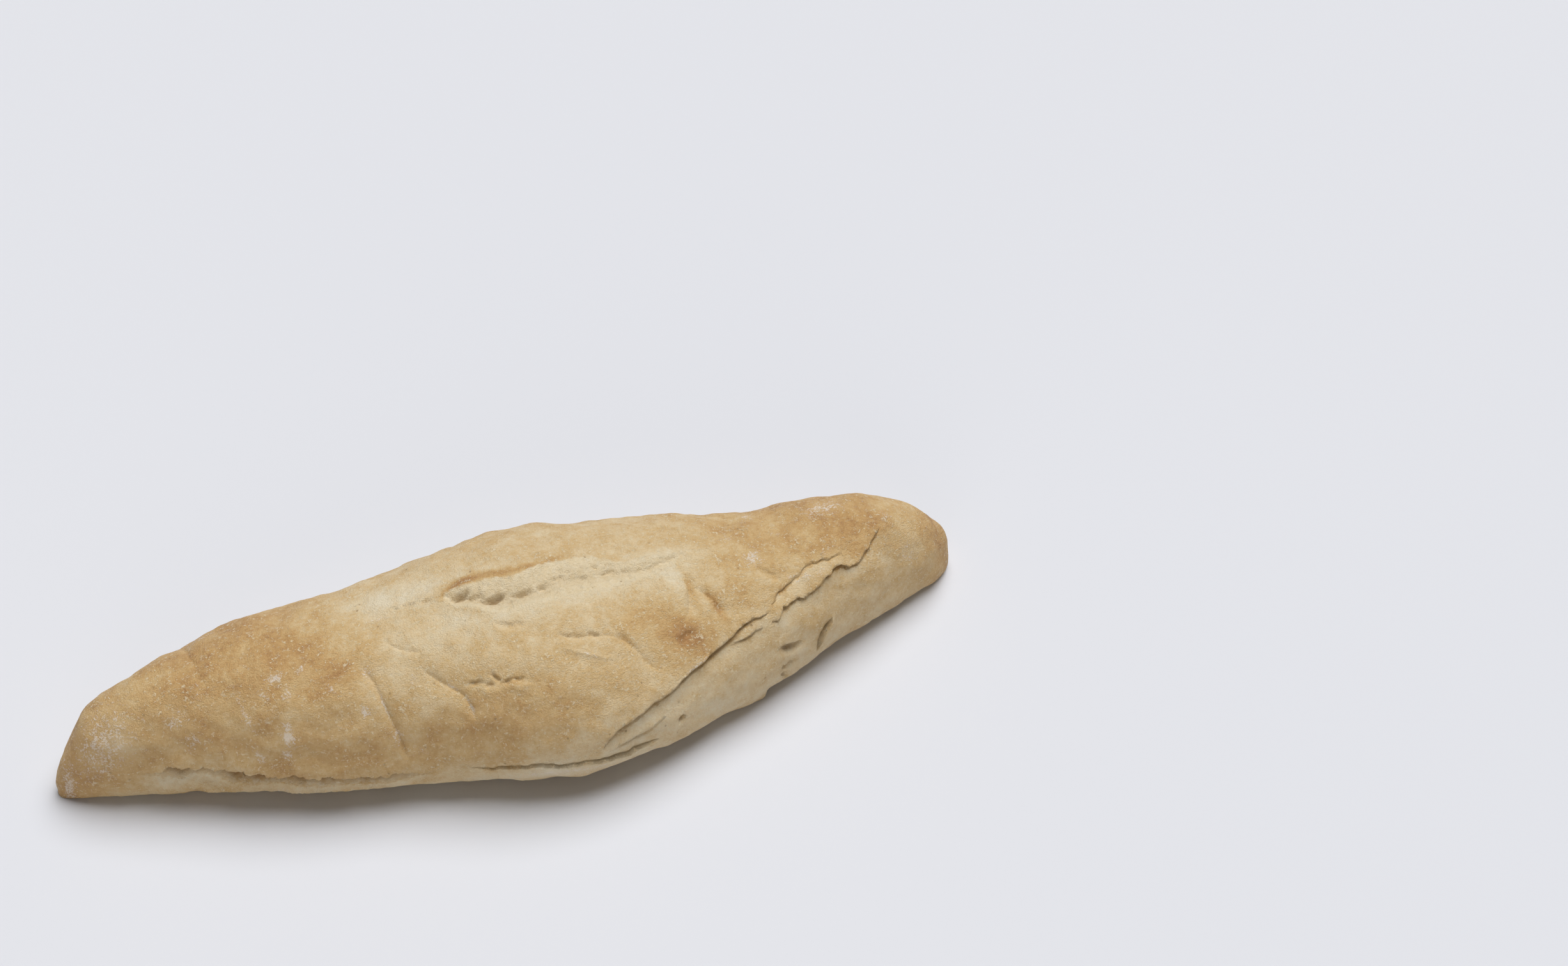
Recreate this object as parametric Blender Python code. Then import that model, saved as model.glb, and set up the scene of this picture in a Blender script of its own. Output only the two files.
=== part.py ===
"""A sandwich baguette: one short baked loaf, modelled as one closed solid.

Run with: blender --background --python part.py

The loaf's skin is laid out flat, in millimetres: u runs along the loaf from its left tip, and
v runs round it from the crown, negative towards the near side, so that both edges of the flat
skin meet along the middle of the sole. The flat skin is filled with points, closer together
beside the cracks, joined into triangles, and wrapped round the loaf's plain form. The cracks,
creases, dents and swells then raise and sink it. Places on the loaf are given as (x, angle):
x in millimetres along the loaf, and the angle in degrees round it from the crown.
"""

from collections import Counter

import bmesh
import bpy
import numpy as np
from mathutils import Vector
from mathutils.geometry import delaunay_2d_cdt
from mathutils.kdtree import KDTree

NODE = "baguette_loaf"
MM = 0.001

# ---------------------------------------------------------------- plain form, millimetres
LEFT_TIP = -137.6
RIGHT_TIP = 141.4
LEFT_ROUNDING = 15.0    # length over which each tip rounds off
RIGHT_ROUNDING = 10.0

# Stations along the loaf: x, reach to the near side, reach to the far side, height.
STATIONS = np.array([
    (-137.6, 4.4, 5.2, 14.2),
    (-128, 6.9, 11.8, 28.2),
    (-115, 11.4, 17.0, 35.4),
    (-103, 15.1, 20.4, 39.6),
    (-93, 18.5, 22.8, 41.4),
    (-80, 23.1, 26.2, 44.0),
    (-60, 29.7, 28.6, 45.3),
    (-40, 34.4, 30.6, 45.6),
    (-20, 39.6, 33.2, 47.8),
    (0, 45.3, 36.2, 50.0),
    (15, 47.0, 36.8, 49.2),
    (35, 43.8, 34.6, 45.8),
    (60, 35.9, 30.2, 42.6),
    (72, 32.4, 26.2, 40.6),
    (85, 26.0, 23.8, 38.8),
    (100, 19.3, 23.2, 38.4),
    (115, 12.8, 21.9, 35.2),
    (130, 6.2, 17.0, 28.0),
    (141.4, -0.1, 11.6, 18.2),
])
CROWN_POWER = 2.15      # roundness of the section above its widest level
BELLY_POWER = 2.5       # squareness of the section below it
BELLY_SHARE = 0.32      # widest level, as a share of the height
TIP_HEIGHT_SHARE = 0.42  # height left at the very tip, as a share of the height
TIP_POWER = 2.5         # roundness of the tips, seen from above
SOLE_PRESS = 1.8        # how much of the rounded underside the oven floor presses flat

# ---------------------------------------------------------------- what the baking did to it
# A crack's rows: x, angle, width above it, width below it, depth, lift of the upper lip,
# sinking of the skin below it. "Above" is towards the crown, or for the score the far side;
# a crack whose rows run from right to left has its lifted lip on the other side.
# Its bottom is shifted by tuck under the lip, and its walls steepen with wall_up and wall_down.
# blend evens out the wall below, and ragged is how closely the crack follows the seeded wander.
SCORE = dict(reach_up=9.0, reach_down=5.0, tuck=0.0, wall_up=0.85, wall_down=1.3, blend=1.0, ragged=0.8,
    rows=[
    (-19.5, 6.0, 0.0, 0.0, 0.0, 0.0, 0.0),
    (-16, 5.0, 1.8, 2.0, 0.9, 0.5, 0.0),
    (-13, 3.8, 3.2, 4.0, 1.7, 0.9, 0.0),
    (-9, 2.3, 4.8, 5.0, 2.0, 1.0, 0.0),
    (-4, 0.2, 6.2, 5.6, 2.1, 1.0, 0.0),
    (0, -0.7, 6.2, 6.0, 2.0, 0.9, 0.0),
    (5, -0.7, 6.6, 6.2, 1.9, 0.8, 0.0),
    (10, 0.4, 6.6, 6.4, 1.8, 0.6, 0.0),
    (16, 2.0, 7.0, 6.6, 1.7, 0.4, 0.0),
    (25, 2.6, 7.0, 6.4, 1.6, 0.3, 0.0),
    (30, 2.0, 5.6, 5.6, 1.5, 0.3, 0.0),
    (35, 1.3, 4.0, 4.6, 1.4, 0.3, 0.1),
    (40, 0.8, 2.8, 3.6, 1.2, 0.3, 0.2),
    (44, 0.6, 2.0, 2.6, 1.1, 0.3, 0.2),
    (50, 2.0, 1.5, 1.8, 0.9, 0.2, 0.2),
    (57, 4.5, 0.0, 0.0, 0.0, 0.0, 0.0),
])
SEAM = dict(reach_up=9.0, reach_down=8.0, tuck=1.3, wall_up=1.4, wall_down=1.8, blend=0.0, ragged=0.45,
    rows=[
    (16.8, -82, 0.0, 0.0, 0.0, 0.0, 0.0),
    (18, -77, 0.4, 1.1, 1.8, 0.7, 0.4),
    (21, -73.3, 0.4, 1.6, 2.8, 1.0, 0.7),
    (24.5, -71, 0.4, 1.5, 3.0, 1.0, 0.7),
    (29.5, -67.6, 0.4, 1.2, 3.0, 1.0, 0.7),
    (34.5, -65, 0.4, 1.1, 3.0, 1.0, 0.7),
    (39.6, -62.2, 0.4, 1.0, 3.0, 1.0, 0.7),
    (45, -59, 0.4, 1.1, 3.0, 1.0, 0.8),
    (50.3, -55.9, 0.4, 1.2, 3.0, 1.0, 0.8),
    (55.6, -53.4, 0.4, 1.2, 2.8, 0.9, 0.8),
    (59.6, -50.8, 0.4, 1.1, 2.4, 0.8, 0.7),
    (63.9, -46.2, 0.4, 0.8, 2.0, 0.7, 0.5),
    (69.3, -42.6, 0.3, 0.6, 1.4, 0.4, 0.3),
    (76, -41.6, 0.0, 0.0, 0.0, 0.0, 0.0),
])
SEAM_BRANCH = dict(reach_up=4.0, reach_down=5.0, tuck=0.8, wall_up=1.6, wall_down=1.2, blend=0.0, ragged=0.8,
    rows=[
    (61, -52.6, 0.0, 0.0, 0.0, 0.0, 0.0),
    (64, -51.3, 0.3, 0.6, 1.0, 0.5, 0.4),
    (68.5, -51, 0.3, 0.7, 1.2, 0.6, 0.4),
    (73.5, -49.6, 0.0, 0.0, 0.0, 0.0, 0.0),
])
SEAM_END = dict(reach_up=5.0, reach_down=6.0, tuck=0.9, wall_up=1.6, wall_down=1.2, blend=0.0, ragged=1.2,
    rows=[
    (75.4, -49.5, 0.0, 0.0, 0.0, 0.0, 0.0),
    (78.6, -48.0, 0.3, 0.6, 1.2, 0.6, 0.4),
    (81.4, -45.6, 0.3, 0.6, 1.3, 0.6, 0.4),
    (85.9, -43.6, 0.3, 0.6, 1.3, 0.6, 0.4),
    (90.6, -43.3, 0.3, 0.6, 1.4, 0.7, 0.4),
    (95.3, -42.0, 0.3, 0.7, 1.7, 0.9, 0.6),
    (99.1, -38.0, 0.3, 0.7, 1.8, 0.9, 0.6),
    (102.5, -38.6, 0.3, 0.6, 1.3, 0.6, 0.4),
    (105.8, -42.0, 0.3, 0.5, 1.0, 0.5, 0.3),
    (108.8, -39.5, 0.3, 0.6, 1.2, 0.6, 0.4),
    (112.4, -30.4, 0.3, 0.5, 1.0, 0.5, 0.3),
    (116.6, -17.0, 0.0, 0.0, 0.0, 0.0, 0.0),
])
TORN_SKIN = dict(reach_up=4.0, reach_down=6.0, tuck=0.2, wall_up=1.4, wall_down=1.0, blend=0.5, ragged=1.2,
    rows=[
    (76, -38.5, 0.0, 0.0, 0.0, 0.0, 0.0),
    (79, -35.2, 0.3, 0.7, 0.5, 0.3, 0.2),
    (82.2, -30.8, 0.3, 0.8, 0.6, 0.4, 0.2),
    (87.6, -29.0, 0.3, 0.7, 0.5, 0.3, 0.2),
    (93.1, -27.2, 0.3, 0.7, 0.5, 0.3, 0.2),
    (97.6, -27.6, 0.3, 0.6, 0.4, 0.3, 0.2),
    (100.8, -29.5, 0.3, 0.5, 0.3, 0.2, 0.1),
    (103, -34.5, 0.0, 0.0, 0.0, 0.0, 0.0),
])
BASE_BURST = dict(reach_up=8.0, reach_down=5.0, tuck=1.3, wall_up=1.8, wall_down=1.3, blend=0.0, ragged=1.5,
    rows=[
    (-114, -77.5, 0.0, 0.0, 0.0, 0.0, 0.0),
    (-107.5, -78.8, 0.4, 3.0, 1.8, 0.8, 0.5),
    (-102.5, -76, 0.5, 5.4, 3.2, 1.3, 0.7),
    (-98.7, -75.4, 0.5, 4.8, 3.2, 1.3, 0.7),
    (-95, -77.6, 0.5, 3.4, 2.0, 0.9, 0.7),
    (-90.6, -78.2, 0.5, 4.2, 2.6, 1.0, 0.8),
    (-86.5, -80.5, 0.5, 5.2, 3.2, 1.3, 0.8),
    (-81.5, -84, 0.5, 5.8, 3.6, 1.3, 0.8),
    (-76.4, -84.6, 0.5, 6.2, 3.8, 1.4, 0.8),
    (-71.5, -83.2, 0.5, 6.2, 3.8, 1.4, 0.8),
    (-66.5, -85.8, 0.5, 6.0, 3.6, 1.3, 0.8),
    (-57, -86, 0.5, 5.6, 3.4, 1.2, 0.7),
    (-49.4, -87.5, 0.5, 4.8, 2.9, 1.0, 0.6),
    (-41, -88.2, 0.4, 3.2, 2.0, 0.6, 0.4),
    (-31, -88.6, 0.0, 0.0, 0.0, 0.0, 0.0),
])
SEAM_FOLD = dict(reach_up=3.0, reach_down=4.0, tuck=0.7, wall_up=1.6, wall_down=1.2, blend=0.0, ragged=0.7,
    rows=[
    (18.5, -83.6, 0.0, 0.0, 0.0, 0.0, 0.0),
    (23.5, -81.6, 0.4, 1.1, 1.7, 0.6, 0.3),
    (28.4, -80.3, 0.4, 1.3, 2.0, 0.7, 0.4),
    (32.8, -78.2, 0.4, 0.9, 1.4, 0.5, 0.4),
    (37.5, -75, 0.0, 0.0, 0.0, 0.0, 0.0),
])
LEDGE = dict(reach_up=4.0, reach_down=4.0, tuck=0.4, wall_up=1.4, wall_down=1.3, blend=0.3, ragged=0.9,
    rows=[
    (34, -85.5, 0.0, 0.0, 0.0, 0.0, 0.0),
    (30.5, -87.8, 0.4, 0.8, 0.9, 0.6, 0.3),
    (25.6, -89.2, 0.4, 1.0, 1.2, 0.8, 0.3),
    (18.5, -89.0, 0.4, 0.9, 1.1, 0.8, 0.3),
    (11.7, -88.0, 0.4, 0.7, 0.8, 0.7, 0.2),
    (5.2, -87.6, 0.4, 0.8, 1.0, 0.7, 0.2),
    (-2.3, -87.0, 0.4, 0.6, 0.7, 0.6, 0.2),
    (-9.2, -86.9, 0.4, 0.7, 0.8, 0.5, 0.2),
    (-16, -87.2, 0.3, 0.5, 0.5, 0.3, 0.1),
    (-23, -86.8, 0.0, 0.0, 0.0, 0.0, 0.0),
])
FLANK_SLIT = dict(reach_up=3.0, reach_down=3.0, tuck=0.5, wall_up=1.4, wall_down=1.3, blend=0.0, ragged=0.8,
    rows=[
    (95.4, -70.0, 0.0, 0.0, 0.0, 0.0, 0.0),
    (94.4, -72.6, 0.4, 0.6, 1.1, 0.6, 0.4),
    (92.8, -75.7, 0.4, 0.8, 1.6, 0.8, 0.5),
    (90.9, -80.7, 0.4, 0.8, 1.7, 0.9, 0.5),
    (89.9, -86.0, 0.4, 0.6, 1.3, 0.6, 0.4),
    (89.3, -91.0, 0.0, 0.0, 0.0, 0.0, 0.0),
])
FAR_BURST = dict(reach_up=5.0, reach_down=6.0, tuck=-0.6, wall_up=1.2, wall_down=1.8, blend=0.0, ragged=1.0,
    rows=[
    (20, 92, 0.0, 0.0, 0.0, 0.0, 0.0),
    (34, 88, 1.6, 0.5, 1.4, 0.4, 0.3),
    (50, 90, 1.8, 0.5, 1.6, 0.5, 0.3),
    (64, 87, 1.4, 0.5, 1.2, 0.4, 0.3),
    (78, 91, 0.0, 0.0, 0.0, 0.0, 0.0),
])
CRACKS = (SCORE, SEAM, SEAM_BRANCH, SEAM_END, SEAM_FOLD, TORN_SKIN, BASE_BURST, LEDGE, FLANK_SLIT,
          FAR_BURST)

# Folds in the crust (a negative depth is a ridge): depth, half width, then the places that they
# run through.
CREASES = (
    (1.2, 1.5, [(-46, -19), (-44, -28), (-42.5, -42), (-41, -54), (-40, -64), (-38.5, -80)]),
    (1.2, 2.0, [(-30, -26), (-26, -33.5), (-22.5, -39.5), (-20.2, -42.6), (-18.7, -48), (-17.6, -60)]),
    (0.9, 1.8, [(-38, -4), (-36, -11), (-31, -17), (-26, -19)]),
    (0.9, 1.6, [(9, -20.5), (16, -24.6), (21.6, -24.9), (28, -28), (31.7, -33.4), (34.8, -43), (38, -51)]),
    (1.6, 2.2, [(54.5, -3), (54, -12.6), (52, -25), (48.5, -31)]),
    (1.6, 1.7, [(55, -14), (59, -22.7), (60.8, -30), (62.6, -38)]),
    (-0.6, 0.8, [(10, -28), (15.8, -31.8), (19.3, -34.2), (25, -38)]),
    (1.0, 4.0, [(-95, 62), (-93, 30), (-92, 6), (-90, -16)]),
    (-0.6, 0.9, [(-98, -104), (-84, -108), (-66, -110), (-48, -106)]),
    (0.5, 4.0, [(-64, 66), (-60, 44), (-58, 28)]),
    (1.0, 4.5, [(26, 74), (30, 52), (36, 36)]),
)
CREASE_CORE = 0.25      # half width of a crease's sharp bottom, as a share of its own

# Dents (a negative depth is a bump): x, angle, half length, half width, depth, and the turn of
# the length from the loaf's own, in degrees.
DENTS = (
    (-15.6, -38.2, 2.2, 0.9, 1.0, -28),
    (-12.2, -40.4, 1.2, 0.7, 0.9, -20),
    (-9.6, -37.2, 1.5, 0.8, 1.0, -40),
    (-6.6, -39.4, 1.8, 0.8, 1.1, 10),
    (-3.2, -38.8, 1.3, 0.7, 0.8, 0),
    (-12, -43, 2.4, 1.2, -0.5, -20),
    (-4, -42.6, 4.0, 1.3, -0.5, 0),
    (-1.5, -13.8, 4.6, 1.5, 0.7, -8),
    (14.6, -23.8, 3.6, 1.2, 0.6, -10),
    (21.5, -24.8, 2.2, 1.0, 0.8, -10),
    (30, -30.5, 2.6, 1.1, 0.6, -50),
    (47.8, -38, 2.6, 1.8, 0.8, 0),
    (78, -19, 4.0, 1.4, 0.7, -45),
    (41.7, -80.2, 0.9, 1.3, 2.2, 0),
    (81, -72.6, 3.9, 1.7, 2.2, 6),
    (79.6, -86.4, 2.2, 1.0, 1.8, 34),
    (78, -93, 1.0, 1.2, 1.4, 0),
)
DENT_EDGE = 1.5         # steepness of the dents' sides
DENT_SIDES = (0.6, 1.3)  # reach of a dent above and below its middle, as shares of its half width

# Swells and hollows of the whole crust: x, angle, half length, half width, height.
SWELLS = (
    (-72, -38, 24, 20, 0.9),
    (6, -46, 26, 18, 0.9),
    (-32, -58, 12, 16, -0.7),
    (88, -14, 24, 18, 0.9),
    (100, -70, 16, 12, 0.6),
    (44, -86, 26, 10, 0.7),
    (-10, 50, 30, 16, 0.7),
    (84, 48, 18, 16, 0.9),
    (-80, 56, 14, 14, 1.0),
)
WANDER = 0.34           # how far the cracks stray from their smooth routes
WANDER_WAVE = 13.0      # the longest wave of that
WANDER_WAVES = 5
UNEVENNESS = 0.35       # height of the slow, seeded unevenness of the whole crust
UNEVEN_WAVE = 17.0      # its longest wave
SKIRT = (44.0, 71.0, 73.0, 3.6)  # flattened rim of the sole: starts, widest, stops, reach
RELIEF_FADE = 2.2       # height over the floor below which the crust's relief dies away

# ---------------------------------------------------------------- size of the triangles
CRACK_CELL = 1.55
CRUST_CELL = 2 * CRACK_CELL
SOLE_CELL = 8 * CRACK_CELL
TIP_CELL = 2.2
ROUTE_STEP = 2.0        # length of the straight pieces of a route
CELL_GROWTH = 0.42      # millimetres of cell for each millimetre from the nearest crack
CREASE_CELL = 2.4
CREASE_MARGIN = 1.0
MERGE = 0.25            # points closer than this become one

CRUST_COLOUR = (0.62, 0.40, 0.18, 1.0)
CRUST_ROUGHNESS = 0.62


# ================================================================ plain form
def through(x, knots, values):
    """The smooth curve through values at knots, read at x."""
    slopes = np.gradient(values, knots)
    x = np.clip(x, knots[0], knots[-1])
    i = np.clip(np.searchsorted(knots, x) - 1, 0, len(knots) - 2)
    gap = knots[i + 1] - knots[i]
    t = (x - knots[i]) / gap
    start = (2 * t**3 - 3 * t**2 + 1) * values[i] + (t**3 - 2 * t**2 + t) * gap * slopes[i]
    end = (3 * t**2 - 2 * t**3) * values[i + 1] + (t**3 - t**2) * gap * slopes[i + 1]
    return start + end


def smooth(t):
    """0 below 0, 1 above 1, and an even curve between."""
    t = np.clip(t, 0.0, 1.0)
    return t * t * (3.0 - 2.0 * t)


def signed_power(value, power):
    return np.sign(value) * np.abs(value) ** power


def tip_share(x):
    """Share of the full section that is left at x: 1 along the loaf, 0 at its tips."""
    left = np.clip((LEFT_TIP + LEFT_ROUNDING - x) / LEFT_ROUNDING, 0.0, 1.0)
    right = np.clip((x - RIGHT_TIP + RIGHT_ROUNDING) / RIGHT_ROUNDING, 0.0, 1.0)
    inward = np.maximum(left, right)
    return (1.0 - inward**TIP_POWER) ** (1.0 / TIP_POWER)


def plain_form(x, angle):
    """Points of the loaf without its relief, in millimetres."""
    turn = np.radians(angle)
    near, far, height = (through(x, STATIONS[:, 0], STATIONS[:, k]) for k in (1, 2, 3))
    share = tip_share(x)
    half = (near + far) / 2 * share
    height = height * (TIP_HEIGHT_SHARE + (1 - TIP_HEIGHT_SHARE) * share)
    belly = BELLY_SHARE * height
    above = np.abs(turn) <= np.pi / 2
    power = np.where(above, 2 / CROWN_POWER, 2 / BELLY_POWER)
    rise = np.abs(np.cos(turn)) ** power
    y = (far - near) / 2 + half * signed_power(np.sin(turn), power)
    z = np.where(above, belly + (height - belly) * rise, belly * (1 - rise))
    return np.stack([x + 0 * y, y, np.maximum(z - SOLE_PRESS, 0.0)], -1)


# ================================================================ the skin laid flat
COLUMNS = 241
COLUMN_X = LEFT_TIP + (RIGHT_TIP - LEFT_TIP) * (1 - np.cos(np.pi * np.linspace(0, 1, COLUMNS))) / 2
ANGLES = np.linspace(0.0, 180.0, 721)
HALF_SECTIONS = plain_form(COLUMN_X[:, None], -ANGLES[None, :])
STEPS = np.linalg.norm(np.diff(HALF_SECTIONS, axis=1), axis=2)
ARC = np.concatenate([np.zeros((COLUMNS, 1)), np.cumsum(STEPS, axis=1)], axis=1)
HALF_GIRTH = ARC[:, -1]
U_STEPS = np.hypot(np.diff(COLUMN_X), np.diff(HALF_GIRTH) / np.pi)
COLUMN_U = np.concatenate([[0.0], np.cumsum(U_STEPS)])
LENGTH = COLUMN_U[-1]
SHARES = np.linspace(0.0, 1.0, 361)
ANGLE_AT_SHARE = np.array([np.interp(SHARES * arc[-1], arc, ANGLES) for arc in ARC])
SOLE_SHARE = np.array([arc[np.argmax(z <= 0.0)] / arc[-1] for arc, z in zip(ARC, HALF_SECTIONS[..., 2])])


def read_table(table, row, column):
    """Bilinear reading of a table at fractional rows and columns."""
    i = np.clip(np.floor(row).astype(int), 0, table.shape[0] - 2)
    j = np.clip(np.floor(column).astype(int), 0, table.shape[1] - 2)
    a, b = row - i, column - j
    low = table[i, j] * (1 - b) + table[i, j + 1] * b
    high = table[i + 1, j] * (1 - b) + table[i + 1, j + 1] * b
    return low * (1 - a) + high * a


def lay_flat(x, angle):
    """(x, angle) on the loaf to (u, v) on the flat skin."""
    row = np.interp(x, COLUMN_X, np.arange(COLUMNS))
    v = np.sign(angle) * read_table(ARC, row, np.abs(angle) / 180.0 * (len(ANGLES) - 1))
    return np.stack([np.interp(x, COLUMN_X, COLUMN_U), v], -1)


def half_girth(u):
    return np.interp(u, COLUMN_U, HALF_GIRTH)


def wrap(flat):
    """(u, v) on the flat skin to points of the plain form."""
    u, v = flat[:, 0], flat[:, 1]
    row = np.interp(u, COLUMN_U, np.arange(COLUMNS))
    share = np.clip(np.abs(v) / half_girth(u), 0.0, 1.0)
    angle = np.sign(v) * read_table(ANGLE_AT_SHARE, row, share * (len(SHARES) - 1))
    return plain_form(np.interp(u, COLUMN_U, COLUMN_X), angle)


# ================================================================ routes on the flat skin
def route(places, step):
    """A smooth line through places, as points a step apart, with its values resampled.

    places holds rows of x, angle and any further values. Returns flat points, the same points'
    lengths along the line, and the further values there.
    """
    rows = np.array(places, float)
    knots = np.arange(len(rows), dtype=float)
    flat = lay_flat(rows[:, 0], rows[:, 1])
    fine = np.linspace(0, len(rows) - 1, 40 * len(rows))
    dense = np.stack([through(fine, knots, flat[:, k]) for k in (0, 1)], -1)
    run = np.concatenate([[0.0], np.cumsum(np.linalg.norm(np.diff(dense, axis=0), axis=1))])
    count = max(3, int(round(run[-1] / step)) + 1)
    at = np.interp(np.linspace(0, run[-1], count), run, fine)
    points = np.stack([np.interp(at, fine, dense[:, k]) for k in (0, 1)], -1)
    values = [np.interp(at, knots, column) for column in rows.T[2:]]
    return points, np.linspace(0, run[-1], count), values


def beside(line, flat):
    """For each flat point: distance to the line, positive on its upper side, and place along it."""
    best = np.full(len(flat), np.inf)
    side = np.zeros(len(flat))
    along = np.zeros(len(flat))
    run = 0.0
    for start, end in zip(line[:-1], line[1:]):
        edge = end - start
        size = np.hypot(*edge)
        off = flat - start
        t = np.clip(off @ edge / size**2, 0.0, 1.0)
        gap = np.hypot(*(off - t[:, None] * edge).T)
        closer = gap < best
        best[closer] = gap[closer]
        turn = edge[0] * off[:, 1] - edge[1] * off[:, 0]
        side[closer] = np.sign(turn[closer])
        along[closer] = run + t[closer] * size
        run += size
    return best * np.where(side == 0, 1.0, side), along


def upper_side(line):
    """Unit vectors across the line, towards its upper side."""
    along = np.gradient(line, axis=0)
    along /= np.linalg.norm(along, axis=1)[:, None]
    return np.stack([-along[:, 1], along[:, 0]], -1)


def wander(flat):
    """Seeded sideways wander of flat points, which makes the cracks ragged."""
    draw = np.random.default_rng(9)
    total = np.zeros_like(flat)
    for wave in WANDER_WAVE * 0.62 ** np.arange(WANDER_WAVES):
        for k in (0, 1):
            turn, phase = 2 * np.pi * draw.random(2)
            run = flat[:, 0] * np.cos(turn) + flat[:, 1] * np.sin(turn)
            total[:, k] += (wave / WANDER_WAVE) ** 0.75 * np.sin(2 * np.pi * run / wave + phase)
    return WANDER * total


def make_ragged(smooth_line, amount):
    """Points that lie on the smooth line once their own wander, times the amount, is added."""
    ragged = smooth_line - amount * wander(smooth_line)
    for _ in range(3):
        ragged = smooth_line - amount * wander(ragged)
    return ragged


# ================================================================ cracks
class Crack:
    """A burst in the crust: a bottom line, a lip above it and an edge below it."""

    def __init__(self, reach_up, reach_down, tuck, wall_up, wall_down, blend, ragged, rows):
        self.reach_up, self.reach_down, self.tuck = reach_up, reach_down, tuck
        self.wall_up, self.wall_down, self.blend, self.ragged = wall_up, wall_down, blend, ragged
        self.line, self.run, self.values = route(rows, ROUTE_STEP)

    def at(self, along):
        """Width above, width below, depth, lift and sinking at places along the crack."""
        return [np.interp(along, self.run, value) for value in self.values]

    def lines(self, step):
        """The bottom line, the lip and the lower edge, as flat points."""
        at = np.linspace(0, self.run[-1], int(round(self.run[-1] / step)) + 1)
        middle = np.stack([np.interp(at, self.run, self.line[:, k]) for k in (0, 1)], -1)
        across = upper_side(middle)
        up, down, *_ = self.at(at)
        yield make_ragged(middle, self.ragged)
        for reach in (up, -down):
            open_here = np.abs(reach) > MERGE
            if open_here.sum() > 1:
                yield make_ragged(middle + across * reach[:, None], self.ragged)[open_here]

    def wall(self, distance, up, down):
        """Share of the depth that is left out at a distance: 0 on the bottom line, 1 at the lips."""
        above = distance >= 0
        inward = np.abs(distance) / np.maximum(np.where(above, up, down), 1e-6)
        inward = np.clip(inward, 0, 1)
        wall = inward ** np.where(above, self.wall_up, self.wall_down)
        return np.where(above, wall, wall + self.blend * (smooth(inward) - wall))

    def relief(self, flat, stray):
        """Lift, cut and sideways shift at flat points, which the cracks' wander moves by stray."""
        distance, along = beside(self.line, flat + self.ragged * stray)
        up, down, depth, lift, sink = self.at(along)
        above = distance >= 0
        wall = self.wall(distance, up, down)
        lifted = lift * np.where(above, 1 - smooth((distance - up) / self.reach_up), 0.0)
        sunk = sink * np.where(above, 0.0, 1 - smooth((-distance - down) / self.reach_down))
        inside = wall < 1
        lifted = np.where(inside & above, lift * wall, lifted)
        cut = -np.where(inside, depth * (1 - wall) + np.where(above, 0.0, sink * wall), sunk)
        slide = np.where(inside, self.tuck * smooth(depth / 1.2) * (1 - wall), 0.0)
        return lifted, cut, slide


# ================================================================ relief of the whole crust
def crease_depth(crease, flat):
    depth, half_width, places = crease
    line, run, _ = route(places, ROUTE_STEP)
    distance, along = beside(line, flat)
    ends = smooth(along / (3 * half_width)) * smooth((run[-1] - along) / (3 * half_width))
    soft = np.exp(-np.abs(distance / half_width) ** 1.4)
    sharp = np.exp(-np.abs(distance / (CREASE_CORE * half_width)))
    return -depth * ends * (0.6 * soft + 0.4 * sharp)


def from_place(flat, x, angle, turn):
    """Distances of flat points from a place on the loaf, along and across a turned axis."""
    off = flat - lay_flat(np.array(float(x)), np.array(float(angle)))
    c, s = np.cos(np.radians(turn)), np.sin(np.radians(turn))
    return off[:, 0] * c + off[:, 1] * s, off[:, 1] * c - off[:, 0] * s


def dent_depth(dent, flat):
    x, angle, half_length, half_width, depth, turn = dent
    along, across = from_place(flat, x, angle, turn)
    reach = half_width * np.where(across > 0, *DENT_SIDES)
    return -depth * np.exp(-((along / half_length) ** 2 + (across / reach) ** 2) ** DENT_EDGE)


def swell_height(swell, flat):
    x, angle, half_length, half_width, height = swell
    along, across = from_place(flat, x, angle, 0)
    return height * np.exp(-(along / half_length) ** 2 - (across / half_width) ** 2)


def unevenness(points):
    """Slow, seeded waves that leave no stretch of crust quite even."""
    draw = np.random.default_rng(5)
    total = np.zeros(len(points))
    for wave in UNEVEN_WAVE * 0.72 ** np.arange(5):
        for _ in range(3):
            heading = draw.normal(size=3)
            heading /= np.linalg.norm(heading)
            phase = 2 * np.pi * draw.random()
            total += wave / UNEVEN_WAVE * np.sin(points @ heading * 2 * np.pi / wave + phase)
    return UNEVENNESS * total / 3


def skirt_reach(plain):
    """Outward reach of the flattened rim at the near side of the sole."""
    start, widest, stop, reach = SKIRT
    along = smooth((plain[:, 0] - start) / (widest - start)) * (plain[:, 0] < widest)
    along += (plain[:, 0] >= widest) * (1 - smooth((plain[:, 0] - widest) / (stop - widest)))
    near = plain[:, 1] < through(plain[:, 0], STATIONS[:, 0], (STATIONS[:, 2] - STATIONS[:, 1]) / 2)
    return reach * along * near * (1 - smooth(plain[:, 2] / 7.0)) * (plain[:, 2] > 0)


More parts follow.
